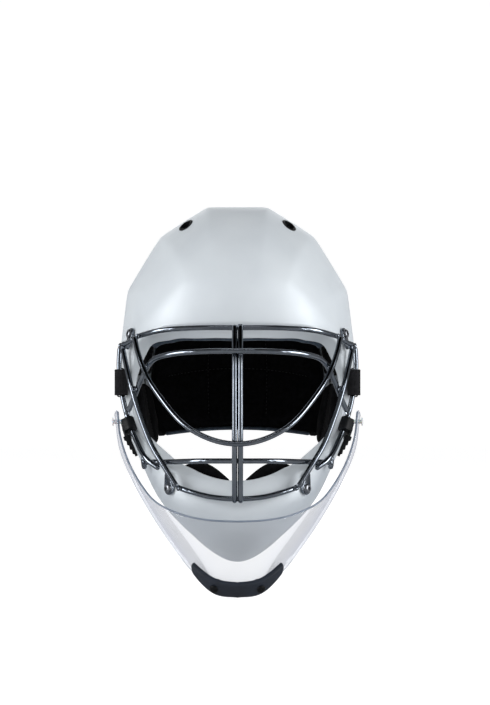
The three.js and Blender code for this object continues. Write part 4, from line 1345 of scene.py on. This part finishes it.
def studio_floor():
    """Seamless pale bowl: flat in the middle, curving up far behind everything."""
    material, shader = new_material("pale_studio", (0.5, 0.5, 0.505), 0.95)
    vary_color(material, shader, noise(material, 3, 2), (0.495, 0.5, 0.505), (0.505, 0.505, 0.51))
    shader.inputs["Emission Color"].default_value = (1, 1, 1, 1)
    shader.inputs["Specular IOR Level"].default_value = 0.0
    rays = add_node(material, "ShaderNodeLightPath")
    glow = add_node(material, "ShaderNodeMapRange")
    glow.inputs["To Min"].default_value = REFLECTED_GLOW
    glow.inputs["To Max"].default_value = FLOOR_GLOW
    link(material, rays, "Is Diffuse Ray", glow, "Value")
    seen = add_node(material, "ShaderNodeMix")
    seen.inputs["B"].default_value = BACKDROP_GLOW
    link(material, rays, "Is Camera Ray", seen, "Factor")
    link(material, glow, "Result", seen, "A")
    link(material, seen, "Result", shader, "Emission Strength")
    flat, wall, segments = 4.0, 3.5, 96
    profile = [(0.02, 0.0), (1.0, 0.0), (2.5, 0.0), (flat, 0.0)]
    profile += [(flat + wall * math.sin(a), wall * (1 - math.cos(a))) for a in np.linspace(0.1, math.pi / 2, 16)]
    profile.append((flat + wall, 8.0))
    points = [((r * math.cos(a)) / MM, (r * math.sin(a)) / MM, (z - 0.0015) / MM)
              for a in np.linspace(0, 2 * math.pi, segments, endpoint=False) for r, z in profile]
    faces = grid_faces(segments, len(profile), wrap_columns=True)
    faces.append(tuple(k * len(profile) for k in range(segments)))
    floor = add_mesh("studio_floor", np.array(points) - SHIFT, faces, material, None)


def build_studio():
    studio_floor()
    world = bpy.data.worlds.new("soft_studio")
    world.use_nodes = True
    world.node_tree.nodes["Background"].inputs["Color"].default_value = (1, 1, 1, 1)
    room = world.node_tree.nodes["Background"]
    rays = world.node_tree.nodes.new("ShaderNodeLightPath")
    soft = world.node_tree.nodes.new("ShaderNodeMath")
    soft.operation = "MULTIPLY"
    soft.inputs[1].default_value = 0.3
    world.node_tree.links.new(rays.outputs["Is Diffuse Ray"], soft.inputs[0])
    world.node_tree.links.new(soft.outputs[0], room.inputs["Strength"])
    bpy.context.scene.world = world
    bpy.context.scene.view_settings.view_transform = "Standard"
    target = (0, 0, 0.2)
    area_light("top_softbox", (0, 0.5, 1.9), target, 1.2, 0.5, 2)
    area_light("left_softbox", (-1.6, -0.7, 0.5), target, 0.5, 1.4, 21)
    area_light("right_softbox", (1.6, -0.7, 0.5), target, 0.5, 1.4, 22)
    area_light("front_strip_left", (-1.9, -1.5, 0.6), target, 0.08, 1.4, 5)
    area_light("front_strip_right", (1.9, -1.5, 0.6), target, 0.08, 1.4, 5)
    area_light("front_strip_top", (0, -1.3, 1.9), target, 0.9, 0.08, 2)
    area_light("rear_wash", (0, 2.0, 1.2), target, 1.6, 0.8, 8)


def build_camera():
    data = bpy.data.cameras.new("photo_view")
    data.sensor_width = SENSOR
    data.lens = CAMERA_DISTANCE / MM / PHOTO_HEIGHT * SENSOR
    data.shift_x = SHIFT_SIDE / PHOTO_HEIGHT
    data.shift_y = SHIFT_UP / PHOTO_HEIGHT
    camera = bpy.data.objects.new("photo_view", data)
    camera.location = (0, -CAMERA_DISTANCE + SHIFT[1] * MM, CAMERA_RISE + SHIFT[2] * MM)
    camera.rotation_euler = (math.pi / 2, 0, 0)
    bpy.context.scene.collection.objects.link(camera)
    bpy.context.scene.camera = camera


build_shell()
build_openings()
build_cage()
build_lugs()
build_liner()
build_backplate()
build_straps()
build_sliders()
build_guard()
build_clips()
build_studio()
build_camera()
